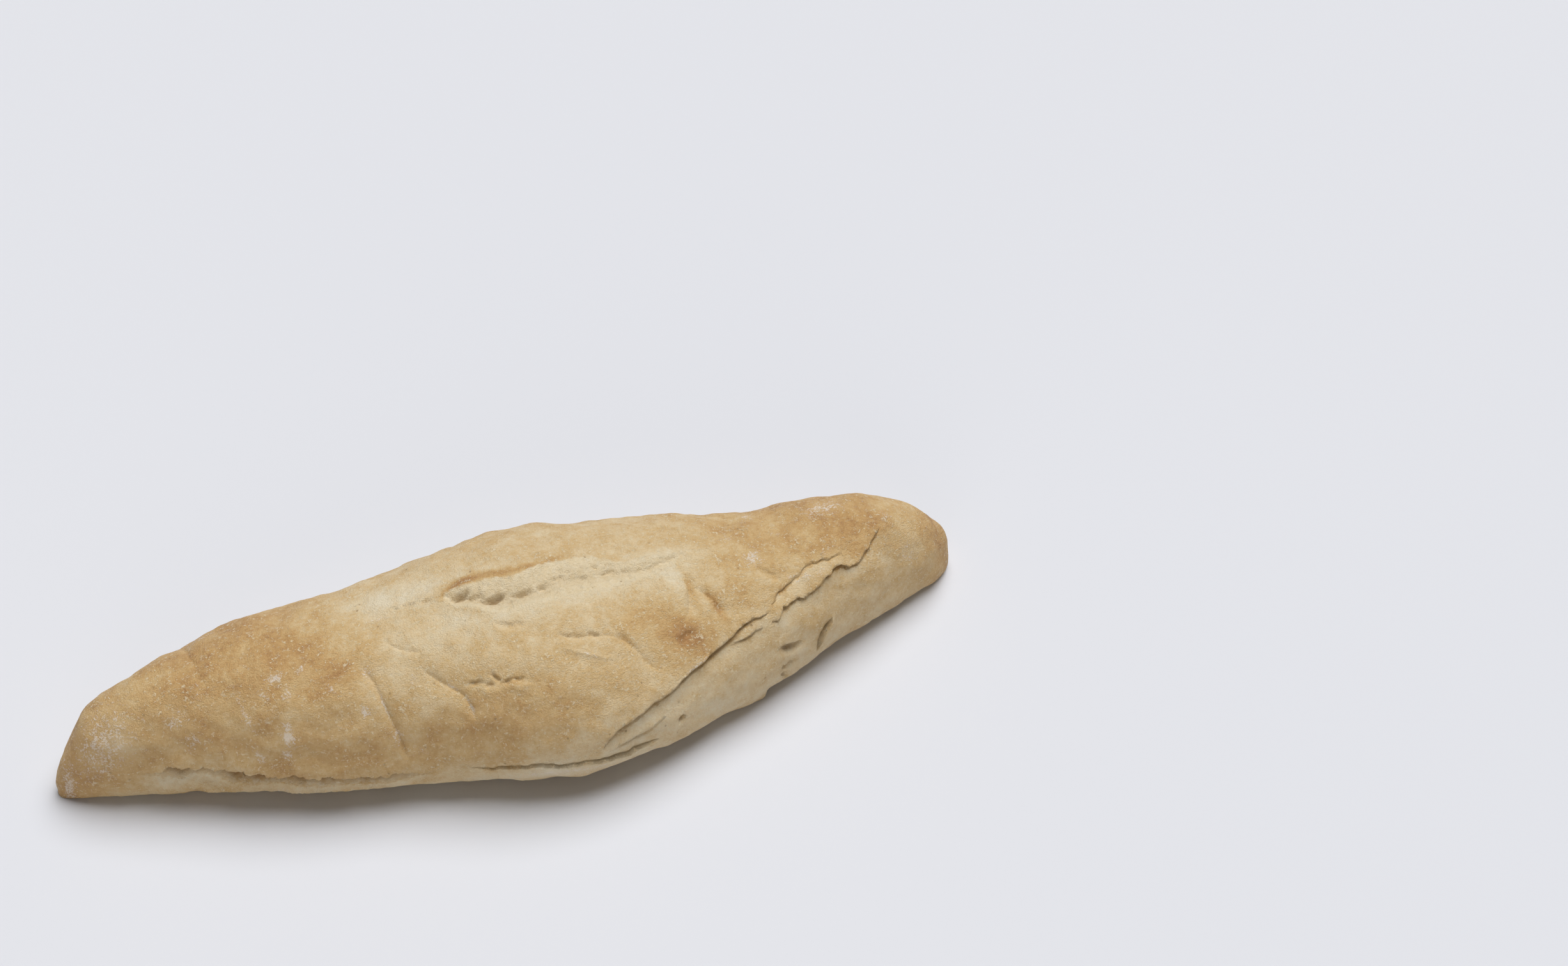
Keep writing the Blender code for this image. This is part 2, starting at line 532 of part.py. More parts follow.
def relief(flat, plain, cracks):
    """Height over the plain form and sideways shift on the flat skin, for each flat point."""
    stray = wander(flat)
    height = unevenness(plain)
    for swell in SWELLS:
        height += swell_height(swell, flat)
    for crease in CREASES:
        height += crease_depth(crease, flat)
    for dent in DENTS:
        height += dent_depth(dent, flat + stray)
    lifted, cut, shift = np.zeros(len(flat)), np.zeros(len(flat)), np.zeros((len(flat), 2))
    for crack in cracks:
        up, down, slide = crack.relief(flat, stray)
        lifted = np.maximum(lifted, up)
        moved = np.flatnonzero((slide != 0) & (down < cut))
        cut = np.minimum(cut, down)
        if len(moved):
            straight = (flat + crack.ragged * stray)[moved]
            gaps = [np.hypot(*(straight - place).T) for place in crack.line]
            shift[moved] = upper_side(crack.line)[np.argmin(gaps, axis=0)] * slide[moved, None]
    fade = smooth(plain[:, 2] / RELIEF_FADE)
    return (height + lifted + cut) * fade + skirt_reach(plain), shift * fade[:, None]


# ================================================================ points on the flat skin
def cell_size(flat, cracks, creases):
    """Wanted distance between neighbouring points, for each flat point."""
    u, v = flat[:, 0], flat[:, 1]
    past_rim = np.abs(v) - half_girth(u) * np.interp(u, COLUMN_U, SOLE_SHARE)
    size = np.clip(CRUST_CELL + 0.5 * past_rim, CRUST_CELL, SOLE_CELL)
    size = np.minimum(size, TIP_CELL + 0.12 * np.minimum(u, LENGTH - u))
    for line in creases:
        distance = np.abs(beside(line, flat)[0])
        size = np.minimum(size, CREASE_CELL + CELL_GROWTH * np.maximum(distance - CREASE_MARGIN, 0))
    stray = wander(flat)
    for crack in cracks:
        distance, along = beside(crack.line, flat + crack.ragged * stray)
        up, down, *_ = crack.at(along)
        outside = np.maximum(np.where(distance > 0, distance - up, -distance - down), 0)
        size = np.minimum(size, CRACK_CELL + CELL_GROWTH * outside)
    return size


def rim_points(cracks, creases):
    """The near half of the flat skin's edge, from tip to tip; the far half mirrors it."""
    left = [(0.0, -v) for v in np.linspace(0, half_girth(0.0), 4)]
    right = [(LENGTH, -v) for v in np.linspace(half_girth(LENGTH), 0, 4)]
    seam = []
    u = 0.0
    while True:
        here = np.array([(u, -half_girth(u))])
        u += 0.9 * cell_size(here, cracks, creases)[0]
        if u > LENGTH - TIP_CELL:
            break
        seam.append((u, -half_girth(u)))
    return np.array(left + seam + right)


def sole_rims(step):
    """The two lines where the loaf's wall leaves the floor."""
    u = np.linspace(0, LENGTH, int(LENGTH / step) + 1)[1:-1]
    v = half_girth(u) * np.interp(u, COLUMN_U, SOLE_SHARE)
    line = np.stack([u, v], -1)[inside_rim(np.stack([u, v], -1), MERGE * 2)]
    return [line, line * (1, -1)]


def grid_points(spacing, coarsest):
    """Points of a triangular grid over the flat skin, leaving out those of the grid twice as wide."""
    rows = int(HALF_GIRTH.max() / (spacing * 0.8660)) + 1
    columns = int(LENGTH / spacing) + 2
    row, column = np.meshgrid(np.arange(-rows, rows + 1), np.arange(columns), indexing="ij")
    u = (column + 0.5 * (row % 2)) * spacing
    v = row * spacing * 0.8660254
    new = np.ones(row.shape, bool) if coarsest else ~((row % 2 == 0) & (column % 2 == (row // 2) % 2))
    return np.stack([u[new], v[new]], -1)


def inside_rim(flat, margin):
    u, v = flat[:, 0], flat[:, 1]
    reach = np.minimum(half_girth(u - margin), half_girth(u + margin)) - margin
    return (np.abs(v) < reach) & (u > margin) & (u < LENGTH - margin)


def inner_points(rim, lines, cracks, creases):
    """Points inside the flat skin, closer together where the cells are smaller."""
    draw = np.random.default_rng(3)
    kept = []
    spacing = SOLE_CELL
    while spacing > 0.8 * CRACK_CELL:
        points = grid_points(spacing, spacing == SOLE_CELL)
        points = points[inside_rim(points, 0.3 * spacing)]
        size = cell_size(points, cracks, creases)
        wanted = (spacing == SOLE_CELL) | (size < 0.72 * 2 * spacing)
        points, size = points[wanted], size[wanted]
        kept.append(points + (draw.random(points.shape) - 0.5) * 0.3 * spacing)
        spacing /= 2
    points = np.concatenate(kept)
    size = np.minimum(cell_size(points, cracks, creases), SOLE_CELL)
    fixed = np.concatenate([rim, rim * (1, -1)] + lines)
    nearest = KDTree(len(fixed))
    for index, place in enumerate(fixed):
        nearest.insert((*place, 0.0), index)
    nearest.balance()
    clear = np.array([nearest.find((*point, 0.0))[2] for point in points])
    return points[clear > 0.55 * size]


def triangles(rim, lines, inner):
    """Join everything into triangles, and glue the two halves of the rim together."""
    far_rim = rim[1:-1][::-1] * (1, -1)
    border = np.concatenate([rim, far_rim])
    points, edges = [border], []
    count = len(border)
    for line in lines:
        edges += [(count + i, count + i + 1) for i in range(len(line) - 1)]
        points.append(line)
        count += len(line)
    points.append(inner)
    corners = [Vector(p) for p in np.concatenate(points)]
    out, _, faces, origins, _, _ = delaunay_2d_cdt(corners, edges, [list(range(len(border)))], 1, MERGE)
    glued = np.arange(len(out))
    place = {source: index for index, sources in enumerate(origins) for source in sources}
    for k in range(len(far_rim)):
        glued[place[len(rim) + k]] = place[len(rim) - 2 - k]
    faces = [tuple(glued[list(face)]) for face in faces]
    seen = Counter(frozenset(face) for face in faces)
    return np.array([tuple(p) for p in out]), [face for face in faces if seen[frozenset(face)] == 1]


# ================================================================ the loaf
def normals(points, faces):
    """Outward unit normals at the points of a closed mesh."""
    faces = np.array(faces)
    a, b, c = (points[faces[:, k]] for k in range(3))
    across = np.cross(b - a, c - a)
    total = np.zeros_like(points)
    for k in range(3):
        np.add.at(total, faces[:, k], across)
    return total / np.maximum(np.linalg.norm(total, axis=1)[:, None], 1e-9)


def loaf_points():
    """The loaf's points in millimetres, and its triangles."""
    cracks = [Crack(**crack) for crack in CRACKS]
    creases = [route(places, ROUTE_STEP)[0] for _, _, places in CREASES]
    rim = rim_points(cracks, creases)
    lines = [line for crack in cracks for line in crack.lines(CRACK_CELL)] + sole_rims(CRUST_CELL)
    inner = inner_points(rim, lines, cracks, creases)
    flat, faces = triangles(rim, lines, inner)
    plain = wrap(flat)
    height, shift = relief(flat, plain, cracks)
    points = wrap(flat + shift) + normals(plain, faces) * height[:, None]
    points[plain[:, 2] <= 0, 2] = 0.0
    points[:, 2] = np.maximum(points[:, 2], 0.0)
    return points, faces


def floor_middle(points):
    """The point of the floor under the middle of the loaf's box."""
    middle = (points.min(0) + points.max(0)) / 2
    return np.array([middle[0], middle[1], 0.0])


def crust_material():
    material = bpy.data.materials.new("baked_crust")
    material.use_nodes = True
    shader = material.node_tree.nodes["Principled BSDF"]
    shader.inputs["Base Color"].default_value = CRUST_COLOUR
    shader.inputs["Roughness"].default_value = CRUST_ROUGHNESS
    shader.inputs["Metallic"].default_value = 0.0
    material.diffuse_color = CRUST_COLOUR
    return material


def build_loaf():
    points, faces = loaf_points()
    points -= floor_middle(points)
    bm = bmesh.new()
    corners = [bm.verts.new(p * MM) for p in points]
    for face in faces:
        bm.faces.new([corners[i] for i in face])
    loose = [corner for corner in bm.verts if not corner.link_faces]
    bmesh.ops.delete(bm, geom=loose, context="VERTS")
    bmesh.ops.recalc_face_normals(bm, faces=bm.faces)
    mesh = bpy.data.meshes.new(NODE)
    bm.to_mesh(mesh)
    bm.free()
    mesh.shade_smooth()
    mesh.materials.append(crust_material())
    loaf = bpy.data.objects.new(NODE, mesh)
    bpy.context.scene.collection.objects.link(loaf)
    return loaf


def main():
    for old in list(bpy.data.objects):
        bpy.data.objects.remove(old, do_unlink=True)
    build_loaf()


main()
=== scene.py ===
"""The looks of the sandwich baguette: its fine crust, colours, floor, light and camera.

The loaf is made as one fine skin over the same plain form, cracks, creases and dents as the
solid that it replaces. The skin is laid flat, in millimetres: u runs along the loaf from its left
tip, and v round it from the crown, negative towards the near side. The flat skin is filled with
points, closer together beside the cracks, joined into triangles, and wrapped round the plain
form. Places on the loaf are (x, angle): millimetres along it, and degrees round it from the crown.
"""

from collections import Counter

import bmesh
import bpy
import numpy as np
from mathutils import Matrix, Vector, noise
from mathutils.geometry import delaunay_2d_cdt
from mathutils.kdtree import KDTree


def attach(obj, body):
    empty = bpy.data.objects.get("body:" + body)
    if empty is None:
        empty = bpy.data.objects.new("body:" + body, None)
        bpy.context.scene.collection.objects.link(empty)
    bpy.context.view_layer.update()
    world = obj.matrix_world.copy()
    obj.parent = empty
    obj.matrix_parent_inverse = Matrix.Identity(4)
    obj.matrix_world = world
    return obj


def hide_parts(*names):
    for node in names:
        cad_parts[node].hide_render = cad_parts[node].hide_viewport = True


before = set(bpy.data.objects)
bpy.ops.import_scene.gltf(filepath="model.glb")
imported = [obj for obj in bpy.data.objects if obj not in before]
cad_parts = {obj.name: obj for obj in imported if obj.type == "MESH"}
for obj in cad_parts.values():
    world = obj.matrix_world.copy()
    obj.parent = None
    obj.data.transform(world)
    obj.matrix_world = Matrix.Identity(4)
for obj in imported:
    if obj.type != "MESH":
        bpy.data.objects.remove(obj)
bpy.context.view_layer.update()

NODE = "baguette_loaf"
MM = 0.001

# -------------------- plain form, millimetres
LEFT_TIP = -137.6
RIGHT_TIP = 141.4
LEFT_ROUNDING = 15.0    # length over which each tip rounds off
RIGHT_ROUNDING = 10.0

# Stations along the loaf: x, reach to the near side, reach to the far side, height.
STATIONS = np.array([
    (-137.6, 4.4, 5.2, 14.2),
    (-128, 6.9, 11.8, 28.2),
    (-115, 11.4, 17.0, 35.4),
    (-103, 15.1, 20.4, 39.6),
    (-93, 18.5, 22.8, 41.4),
    (-80, 23.1, 26.2, 44.0),
    (-60, 29.7, 28.6, 45.3),
    (-40, 34.4, 30.6, 45.6),
    (-20, 39.6, 33.2, 47.8),
    (0, 45.3, 36.2, 50.0),
    (15, 47.0, 36.8, 49.2),
    (35, 43.8, 34.6, 45.8),
    (60, 35.9, 30.2, 42.6),
    (72, 32.4, 26.2, 40.6),
    (85, 26.0, 23.8, 38.8),
    (100, 19.3, 23.2, 38.4),
    (115, 12.8, 21.9, 35.2),
    (130, 6.2, 17.0, 28.0),
    (141.4, -0.1, 11.6, 18.2),
])
CROWN_POWER = 2.15      # roundness of the section above its widest level
BELLY_POWER = 2.5       # squareness of the section below it
BELLY_SHARE = 0.32      # widest level, as a share of the height
TIP_HEIGHT_SHARE = 0.42  # height left at the very tip, as a share of the height
TIP_POWER = 2.5         # roundness of the tips, seen from above
SOLE_PRESS = 1.8        # how much of the rounded underside the oven floor presses flat

# -------------------- what the baking did to it
# A crack's rows: x, angle, width above it, width below it, depth, lift of the upper lip,
# sinking of the skin below it. "Above" is towards the crown, or for the score the far side;
# a crack whose rows run from right to left has its lifted lip on the other side.
# Of each pair, the first is for above. reach is how far the lift and the sinking go, and walls how
# steep the walls are. tuck shifts the bottom under the lip, blend evens out the lower wall, and
# ragged is how closely the crack follows the seeded wander. crumb, shade and pale are how much
# bare crumb, shade and pale torn skin it shows, and fray is how softly its crumb ends.
SHUT = (0.0, 0.0, 0.0, 0.0, 0.0)    # the five values at a crack's ends
SCORE = dict(
    reach=(9.0, 5.0), walls=(0.85, 1.3), tuck=0.0, blend=1.0, ragged=0.8,
    crumb=1.0, fray=3.0, shade=0.15,
    rows=[
    (-19.5, 6.0, *SHUT),
    (-16, 5.0, 1.8, 2.0, 0.9, 0.5, 0.0),
    (-13, 3.8, 3.2, 4.0, 1.7, 0.9, 0.0),
    (-9, 2.3, 4.8, 5.0, 2.0, 1.0, 0.0),
    (-4, 0.2, 6.2, 5.6, 2.1, 1.0, 0.0),
    (0, -0.7, 6.2, 6.0, 2.0, 0.9, 0.0),
    (5, -0.7, 6.6, 6.2, 1.9, 0.8, 0.0),
    (10, 0.4, 6.6, 6.4, 1.8, 0.6, 0.0),
    (16, 2.0, 7.0, 6.6, 1.7, 0.4, 0.0),
    (25, 2.6, 7.0, 6.4, 1.6, 0.3, 0.0),
    (30, 2.0, 5.6, 5.6, 1.5, 0.3, 0.0),
    (35, 1.3, 4.0, 4.6, 1.4, 0.3, 0.1),
    (40, 0.8, 2.8, 3.6, 1.2, 0.3, 0.2),
    (44, 0.6, 2.0, 2.6, 1.1, 0.3, 0.2),
    (50, 2.0, 1.5, 1.8, 0.9, 0.2, 0.2),
    (57, 4.5, *SHUT),
])
SEAM = dict(
    reach=(9.0, 8.0), walls=(1.4, 1.8), tuck=1.3, ragged=0.45, crumb=0.4, shade=0.9, pale=0.14,
    rows=[
    (16.8, -82, *SHUT),
    (18, -77, 0.4, 1.1, 1.8, 0.7, 0.4),
    (21, -73.3, 0.4, 1.6, 2.8, 1.0, 0.7),
    (24.5, -71, 0.4, 1.5, 3.0, 1.0, 0.7),
    (29.5, -67.6, 0.4, 1.2, 3.0, 1.0, 0.7),
    (34.5, -65, 0.4, 1.1, 3.0, 1.0, 0.7),
    (39.6, -62.2, 0.4, 1.0, 3.0, 1.0, 0.7),
    (45, -59, 0.4, 1.1, 3.0, 1.0, 0.8),
    (50.3, -55.9, 0.4, 1.2, 3.0, 1.0, 0.8),
    (55.6, -53.4, 0.4, 1.2, 2.8, 0.9, 0.8),
    (59.6, -50.8, 0.4, 1.1, 2.4, 0.8, 0.7),
    (63.9, -46.2, 0.4, 0.8, 2.0, 0.7, 0.5),
    (69.3, -42.6, 0.3, 0.6, 1.4, 0.4, 0.3),
    (76, -41.6, *SHUT),
])
SEAM_BRANCH = dict(
    reach=(4.0, 5.0), walls=(1.6, 1.2), tuck=0.8, ragged=0.8, crumb=0.3, pale=0.1,
    rows=[
    (61, -52.6, *SHUT),
    (64, -51.3, 0.3, 0.6, 1.0, 0.5, 0.4),
    (68.5, -51, 0.3, 0.7, 1.2, 0.6, 0.4),
    (73.5, -49.6, *SHUT),
])
SEAM_END = dict(
    reach=(5.0, 6.0), walls=(1.6, 1.2), tuck=0.9, ragged=1.2, crumb=0.3, pale=0.28,
    rows=[
    (75.4, -49.5, *SHUT),
    (78.6, -48.0, 0.3, 0.6, 1.2, 0.6, 0.4),
    (81.4, -45.6, 0.3, 0.6, 1.3, 0.6, 0.4),
    (85.9, -43.6, 0.3, 0.6, 1.3, 0.6, 0.4),
    (90.6, -43.3, 0.3, 0.6, 1.4, 0.7, 0.4),
    (95.3, -42.0, 0.3, 0.7, 1.7, 0.9, 0.6),
    (99.1, -38.0, 0.3, 0.7, 1.8, 0.9, 0.6),
    (102.5, -38.6, 0.3, 0.6, 1.3, 0.6, 0.4),
    (105.8, -42.0, 0.3, 0.5, 1.0, 0.5, 0.3),
    (108.8, -39.5, 0.3, 0.6, 1.2, 0.6, 0.4),
    (112.4, -30.4, 0.3, 0.5, 1.0, 0.5, 0.3),
    (116.6, -17.0, *SHUT),
])
TORN_SKIN = dict(
    reach=(4.0, 6.0), walls=(1.4, 1.0), tuck=0.2, blend=0.5, ragged=1.2, shade=0.15, pale=0.38,
    rows=[
    (76, -38.5, *SHUT),
    (79, -35.2, 0.3, 0.7, 0.5, 0.3, 0.2),
    (82.2, -30.8, 0.3, 0.8, 0.6, 0.4, 0.2),
    (87.6, -29.0, 0.3, 0.7, 0.5, 0.3, 0.2),
    (93.1, -27.2, 0.3, 0.7, 0.5, 0.3, 0.2),
    (97.6, -27.6, 0.3, 0.6, 0.4, 0.3, 0.2),
    (100.8, -29.5, 0.3, 0.5, 0.3, 0.2, 0.1),
    (103, -34.5, *SHUT),
])
BASE_BURST = dict(
    reach=(8.0, 5.0), walls=(1.8, 1.3), tuck=1.3, ragged=1.5,
    crumb=0.5, fray=0.8, shade=1.0, pale=0.3,
    rows=[
    (-114, -77.5, *SHUT),
    (-107.5, -78.8, 0.4, 3.0, 1.8, 0.8, 0.5),
    (-102.5, -76, 0.5, 5.4, 3.2, 1.3, 0.7),
    (-98.7, -75.4, 0.5, 4.8, 3.2, 1.3, 0.7),
    (-95, -77.6, 0.5, 3.4, 2.0, 0.9, 0.7),
    (-90.6, -78.2, 0.5, 4.2, 2.6, 1.0, 0.8),
    (-86.5, -80.5, 0.5, 5.2, 3.2, 1.3, 0.8),
    (-81.5, -84, 0.5, 5.8, 3.6, 1.3, 0.8),
    (-76.4, -84.6, 0.5, 6.2, 3.8, 1.4, 0.8),
    (-71.5, -83.2, 0.5, 6.2, 3.8, 1.4, 0.8),
    (-66.5, -85.8, 0.5, 6.0, 3.6, 1.3, 0.8),
    (-57, -86, 0.5, 5.6, 3.4, 1.2, 0.7),
    (-49.4, -87.5, 0.5, 4.8, 2.9, 1.0, 0.6),
    (-41, -88.2, 0.4, 3.2, 2.0, 0.6, 0.4),
    (-31, -88.6, *SHUT),
])
SEAM_FOLD = dict(
    reach=(3.0, 4.0), walls=(1.6, 1.2), tuck=0.7, ragged=0.7, crumb=0.2, pale=0.15,
    rows=[
    (18.5, -83.6, *SHUT),
    (23.5, -81.6, 0.4, 1.1, 1.7, 0.6, 0.3),
    (28.4, -80.3, 0.4, 1.3, 2.0, 0.7, 0.4),
    (32.8, -78.2, 0.4, 0.9, 1.4, 0.5, 0.4),
    (37.5, -75, *SHUT),
])
LEDGE = dict(
    reach=(4.0, 4.0), walls=(1.4, 1.3), tuck=0.4, blend=0.3, ragged=0.9, shade=0.25,
    rows=[
    (34, -85.5, *SHUT),
    (30.5, -87.8, 0.4, 0.8, 0.9, 0.6, 0.3),
    (25.6, -89.2, 0.4, 1.0, 1.2, 0.8, 0.3),
    (18.5, -89.0, 0.4, 0.9, 1.1, 0.8, 0.3),
    (11.7, -88.0, 0.4, 0.7, 0.8, 0.7, 0.2),
    (5.2, -87.6, 0.4, 0.8, 1.0, 0.7, 0.2),
    (-2.3, -87.0, 0.4, 0.6, 0.7, 0.6, 0.2),
    (-9.2, -86.9, 0.4, 0.7, 0.8, 0.5, 0.2),
    (-16, -87.2, 0.3, 0.5, 0.5, 0.3, 0.1),
    (-23, -86.8, *SHUT),
])
FLANK_SLIT = dict(
    reach=(3.0, 3.0), walls=(1.4, 1.3), tuck=0.5, ragged=0.8, crumb=0.4, shade=0.6,
    rows=[
    (95.4, -70.0, *SHUT),
    (94.4, -72.6, 0.4, 0.6, 1.1, 0.6, 0.4),
    (92.8, -75.7, 0.4, 0.8, 1.6, 0.8, 0.5),
    (90.9, -80.7, 0.4, 0.8, 1.7, 0.9, 0.5),
    (89.9, -86.0, 0.4, 0.6, 1.3, 0.6, 0.4),
    (89.3, -91.0, *SHUT),
])
FAR_BURST = dict(
    reach=(5.0, 6.0), walls=(1.2, 1.8), tuck=-0.6, ragged=1.0,
    crumb=0.8, fray=1.5, shade=0.6, pale=0.2,
    rows=[
    (20, 92, *SHUT),
    (34, 88, 1.6, 0.5, 1.4, 0.4, 0.3),
    (50, 90, 1.8, 0.5, 1.6, 0.5, 0.3),
    (64, 87, 1.4, 0.5, 1.2, 0.4, 0.3),
    (78, 91, *SHUT),
])
CRACKS = (SCORE, SEAM, SEAM_BRANCH, SEAM_END, SEAM_FOLD, TORN_SKIN, BASE_BURST, LEDGE, FLANK_SLIT,
          FAR_BURST)

# Folds in the crust (a negative depth is a ridge): depth, half width, then the places that they
# run through.
CREASES = (
    (1.2, 1.5, [(-46, -19), (-44, -28), (-42.5, -42), (-41, -54), (-40, -64), (-38.5, -80)]),
    (1.2, 2.0, [(-30, -26), (-26, -33.5), (-22.5, -39.5), (-20.2, -42.6), (-18.7, -48), (-17.6, -60)]),
    (0.9, 1.8, [(-38, -4), (-36, -11), (-31, -17), (-26, -19)]),
    (0.9, 1.6, [(9, -20.5), (16, -24.6), (21.6, -24.9), (28, -28), (31.7, -33.4), (34.8, -43),
                (38, -51)]),
    (1.6, 2.2, [(54.5, -3), (54, -12.6), (52, -25), (48.5, -31)]),
    (1.6, 1.7, [(55, -14), (59, -22.7), (60.8, -30), (62.6, -38)]),
    (-0.6, 0.8, [(10, -28), (15.8, -31.8), (19.3, -34.2), (25, -38)]),
    (1.0, 4.0, [(-95, 62), (-93, 30), (-92, 6), (-90, -16)]),
    (-0.6, 0.9, [(-98, -104), (-84, -108), (-66, -110), (-48, -106)]),
    (0.5, 4.0, [(-64, 66), (-60, 44), (-58, 28)]),
    (1.0, 4.5, [(26, 74), (30, 52), (36, 36)]),
)
CREASE_CORE = 0.25      # half width of a crease's sharp bottom, as a share of its own

# Dents (a negative depth is a bump): x, angle, half length, half width, depth, and the turn of
# the length from the loaf's own, in degrees.
DENTS = (
    (-15.6, -38.2, 2.2, 0.9, 1.0, -28),
    (-12.2, -40.4, 1.2, 0.7, 0.9, -20),
    (-9.6, -37.2, 1.5, 0.8, 1.0, -40),
    (-6.6, -39.4, 1.8, 0.8, 1.1, 10),
    (-3.2, -38.8, 1.3, 0.7, 0.8, 0),
    (-12, -43, 2.4, 1.2, -0.5, -20),
    (-4, -42.6, 4.0, 1.3, -0.5, 0),
    (-1.5, -13.8, 4.6, 1.5, 0.7, -8),
    (14.6, -23.8, 3.6, 1.2, 0.6, -10),
    (21.5, -24.8, 2.2, 1.0, 0.8, -10),
    (30, -30.5, 2.6, 1.1, 0.6, -50),
    (47.8, -38, 2.6, 1.8, 0.8, 0),
    (78, -19, 4.0, 1.4, 0.7, -45),
    (41.7, -80.2, 0.9, 1.3, 2.2, 0),
    (81, -72.6, 3.9, 1.7, 2.2, 6),
    (79.6, -86.4, 2.2, 1.0, 1.8, 34),
    (78, -93, 1.0, 1.2, 1.4, 0),
)
DENT_EDGE = 1.5         # steepness of the dents' sides
DENT_SIDES = (0.6, 1.3)  # reach of a dent above and below its middle, as shares of its half width

# Swells and hollows of the whole crust: x, angle, half length, half width, height.
SWELLS = (
    (-72, -38, 24, 20, 0.9),
    (6, -46, 26, 18, 0.9),
    (-32, -58, 12, 16, -0.7),
    (88, -14, 24, 18, 0.9),
    (100, -70, 16, 12, 0.6),
    (44, -86, 26, 10, 0.7),
    (-10, 50, 30, 16, 0.7),
    (84, 48, 18, 16, 0.9),
    (-80, 56, 14, 14, 1.0),
)
TUCK_DEPTH = 1.2        # depth from which a crack's bottom is shifted by the whole tuck
WANDER = 0.34           # how far the cracks stray from their smooth routes
WANDER_WAVE = 13.0      # the longest wave of that
WANDER_WAVES = 5
UNEVENNESS = 0.35       # height of the slow, seeded unevenness of the whole crust
UNEVEN_WAVE = 17.0      # its longest wave
SKIRT = (44.0, 71.0, 73.0, 3.6)  # flattened rim of the sole: starts, widest, stops, reach
SKIRT_HEIGHT = 7.0      # height over the floor at which it is gone
RELIEF_FADE = 2.2       # height over the floor below which the crust's relief dies away

# -------------------- size of the triangles
CRACK_CELL = 0.42
CRUST_CELL = 2 * CRACK_CELL
SOLE_CELL = 8 * CRACK_CELL
TIP_CELL = 0.8
ROUTE_STEP = 2.0        # length of the straight pieces of a route
CELL_GROWTH = 0.42      # millimetres of cell for each millimetre from the nearest crack
CREASE_CELL = 0.5
CREASE_MARGIN = 1.0
MERGE = 0.07            # points closer than this become one
SCATTER = 0.3           # random shift of the points, as a share of their spacing
CLEARANCE = 0.55        # least distance to a crack's lines, in cells
ROW_RISE = 0.8660254    # distance between a triangular grid's rows, in spacings

# -------------------- the finest relief, millimetres
HOLES = (                # openings in the score's crumb, written as the dents are
    (-3.9, 0.4, 4.0, 0.9, 2.2, 8),
    (5.2, -0.2, 3.0, 0.9, 1.6, 16),
    (-12.6, 4.6, 3.2, 0.9, 1.7, 18),
    (-8.6, 3.0, 1.4, 0.7, 1.0, 10),
    (1.2, -3.0, 1.6, 0.6, 0.9, 0),
    (11.0, 1.6, 1.3, 0.7, 1.2, 0),
    (16.5, 3.8, 1.4, 0.7, 1.1, 0),
    (20.0, 5.6, 0.8, 0.5, 0.9, 0),
    (24.5, 3.0, 1.2, 0.6, 1.1, 20),
    (28.5, 6.0, 0.9, 0.5, 0.9, 0),
    (32.0, 2.6, 1.4, 0.7, 1.1, 0),
    (36.5, 2.2, 1.0, 0.6, 1.0, 0),
    (-22.5, 7.2, 1.5, 0.5, 1.1, 0),
    (-27.0, 8.2, 1.8, 0.45, 1.0, 0),
    (-31.5, 7.6, 1.3, 0.4, 0.9, 0),
)
PITS = HOLES + DENTS
LUMPS = ((14.0, 0.36), (7.0, 0.26), (3.4, 0.15), (1.6, 0.08))  # size and height of the crust's lumps
PORES = ((3.4, 0.26), (1.5, 0.20))  # size and depth of the crumb's pores
PORE_REACH = 0.55        # half width of a pore, as a share of its size
WRINKLE = (6.0, 0.10)    # spacing and depth of the crust's fine wrinkles
WRINKLE_POWER = 14       # their sharpness
WRINKLE_STRAY = (5.0, 2.5)  # size and reach of the wander that bends them
WORN_SIZE = 22.0         # size of the stretches that have wrinkles

# -------------------- browning and flour
BROWNING = 0.50          # browning of the crust away from every patch: 0 is cream, 1 deep gold
SOLE_BROWNING = 0.72
# Patches of the crust: x, angle, half length, half width, amount and, if turned, degrees.
BROWNED_AND_SHADED = (
    (-86, -30, 36, 34, 0.30),
    (-80, 45, 36, 26, 0.30),
    (94, -8, 30, 26, 0.20),
    (88, 50, 30, 22, 0.30),
    (47, -36, 8, 5, 0.42, -20),
    (50, -44, 9, 6, 0.18),
    (40, -24, 10, 6, 0.22),
    (-12, -60, 40, 11, 0.30),
    (-60, -74, 30, 7, 0.16),
    (5, 60, 34, 16, 0.12),
    (136, -45, 9, 26, 0.26),
    (138, 20, 8, 16, 0.26),
    (116, 4, 11, 12, 0.16),
    (-130, -30, 12, 40, 0.28),
    (-134, -75, 5, 10, 0.26),
    (-62, -8, 9, 6, 0.20),
    (-14, 8.4, 5, 1.7, 0.60, 20),
    (-5, 10.6, 8, 2.2, 0.66),
    (107, -11, 9, 8, 0.26),
    (8, 9.6, 7, 1.4, 0.50, 8),
    (17, 12.4, 5, 1.3, 0.22, 14),
    # the next two thin patches darken the grooves of the two creases right of the score: partly deeper
    # browning, partly painted shade
    (54, -14, 1.3, 8, 0.34, 4),
    (60, -28, 1.2, 7, 0.38, 16),
    (48, -39, 2.4, 2.4, 0.24),
    (-53, -22, 5, 4, 0.20),
    (-56, -26, 7, 5, 0.22),
    (-30, 16, 20, 8, -0.40),
    (-36, 18, 12, 6, -0.12),
    (48, 1, 12, 6, -0.30),
    (49, -9, 8, 6, -0.26),
    (-18, -6, 14, 5, -0.18),
    (45, -80, 34, 8, -0.24),
    (88, -80, 26, 8, -0.16),
    (-102, -88, 16, 6, -0.25),
    (2, -7.5, 22, 4.5, -0.30, 3),
    (30, -4, 16, 4.0, -0.24),
    (2, -91, 40, 5, -0.38),
    (-30, -38, 10, 12, -0.12),
)
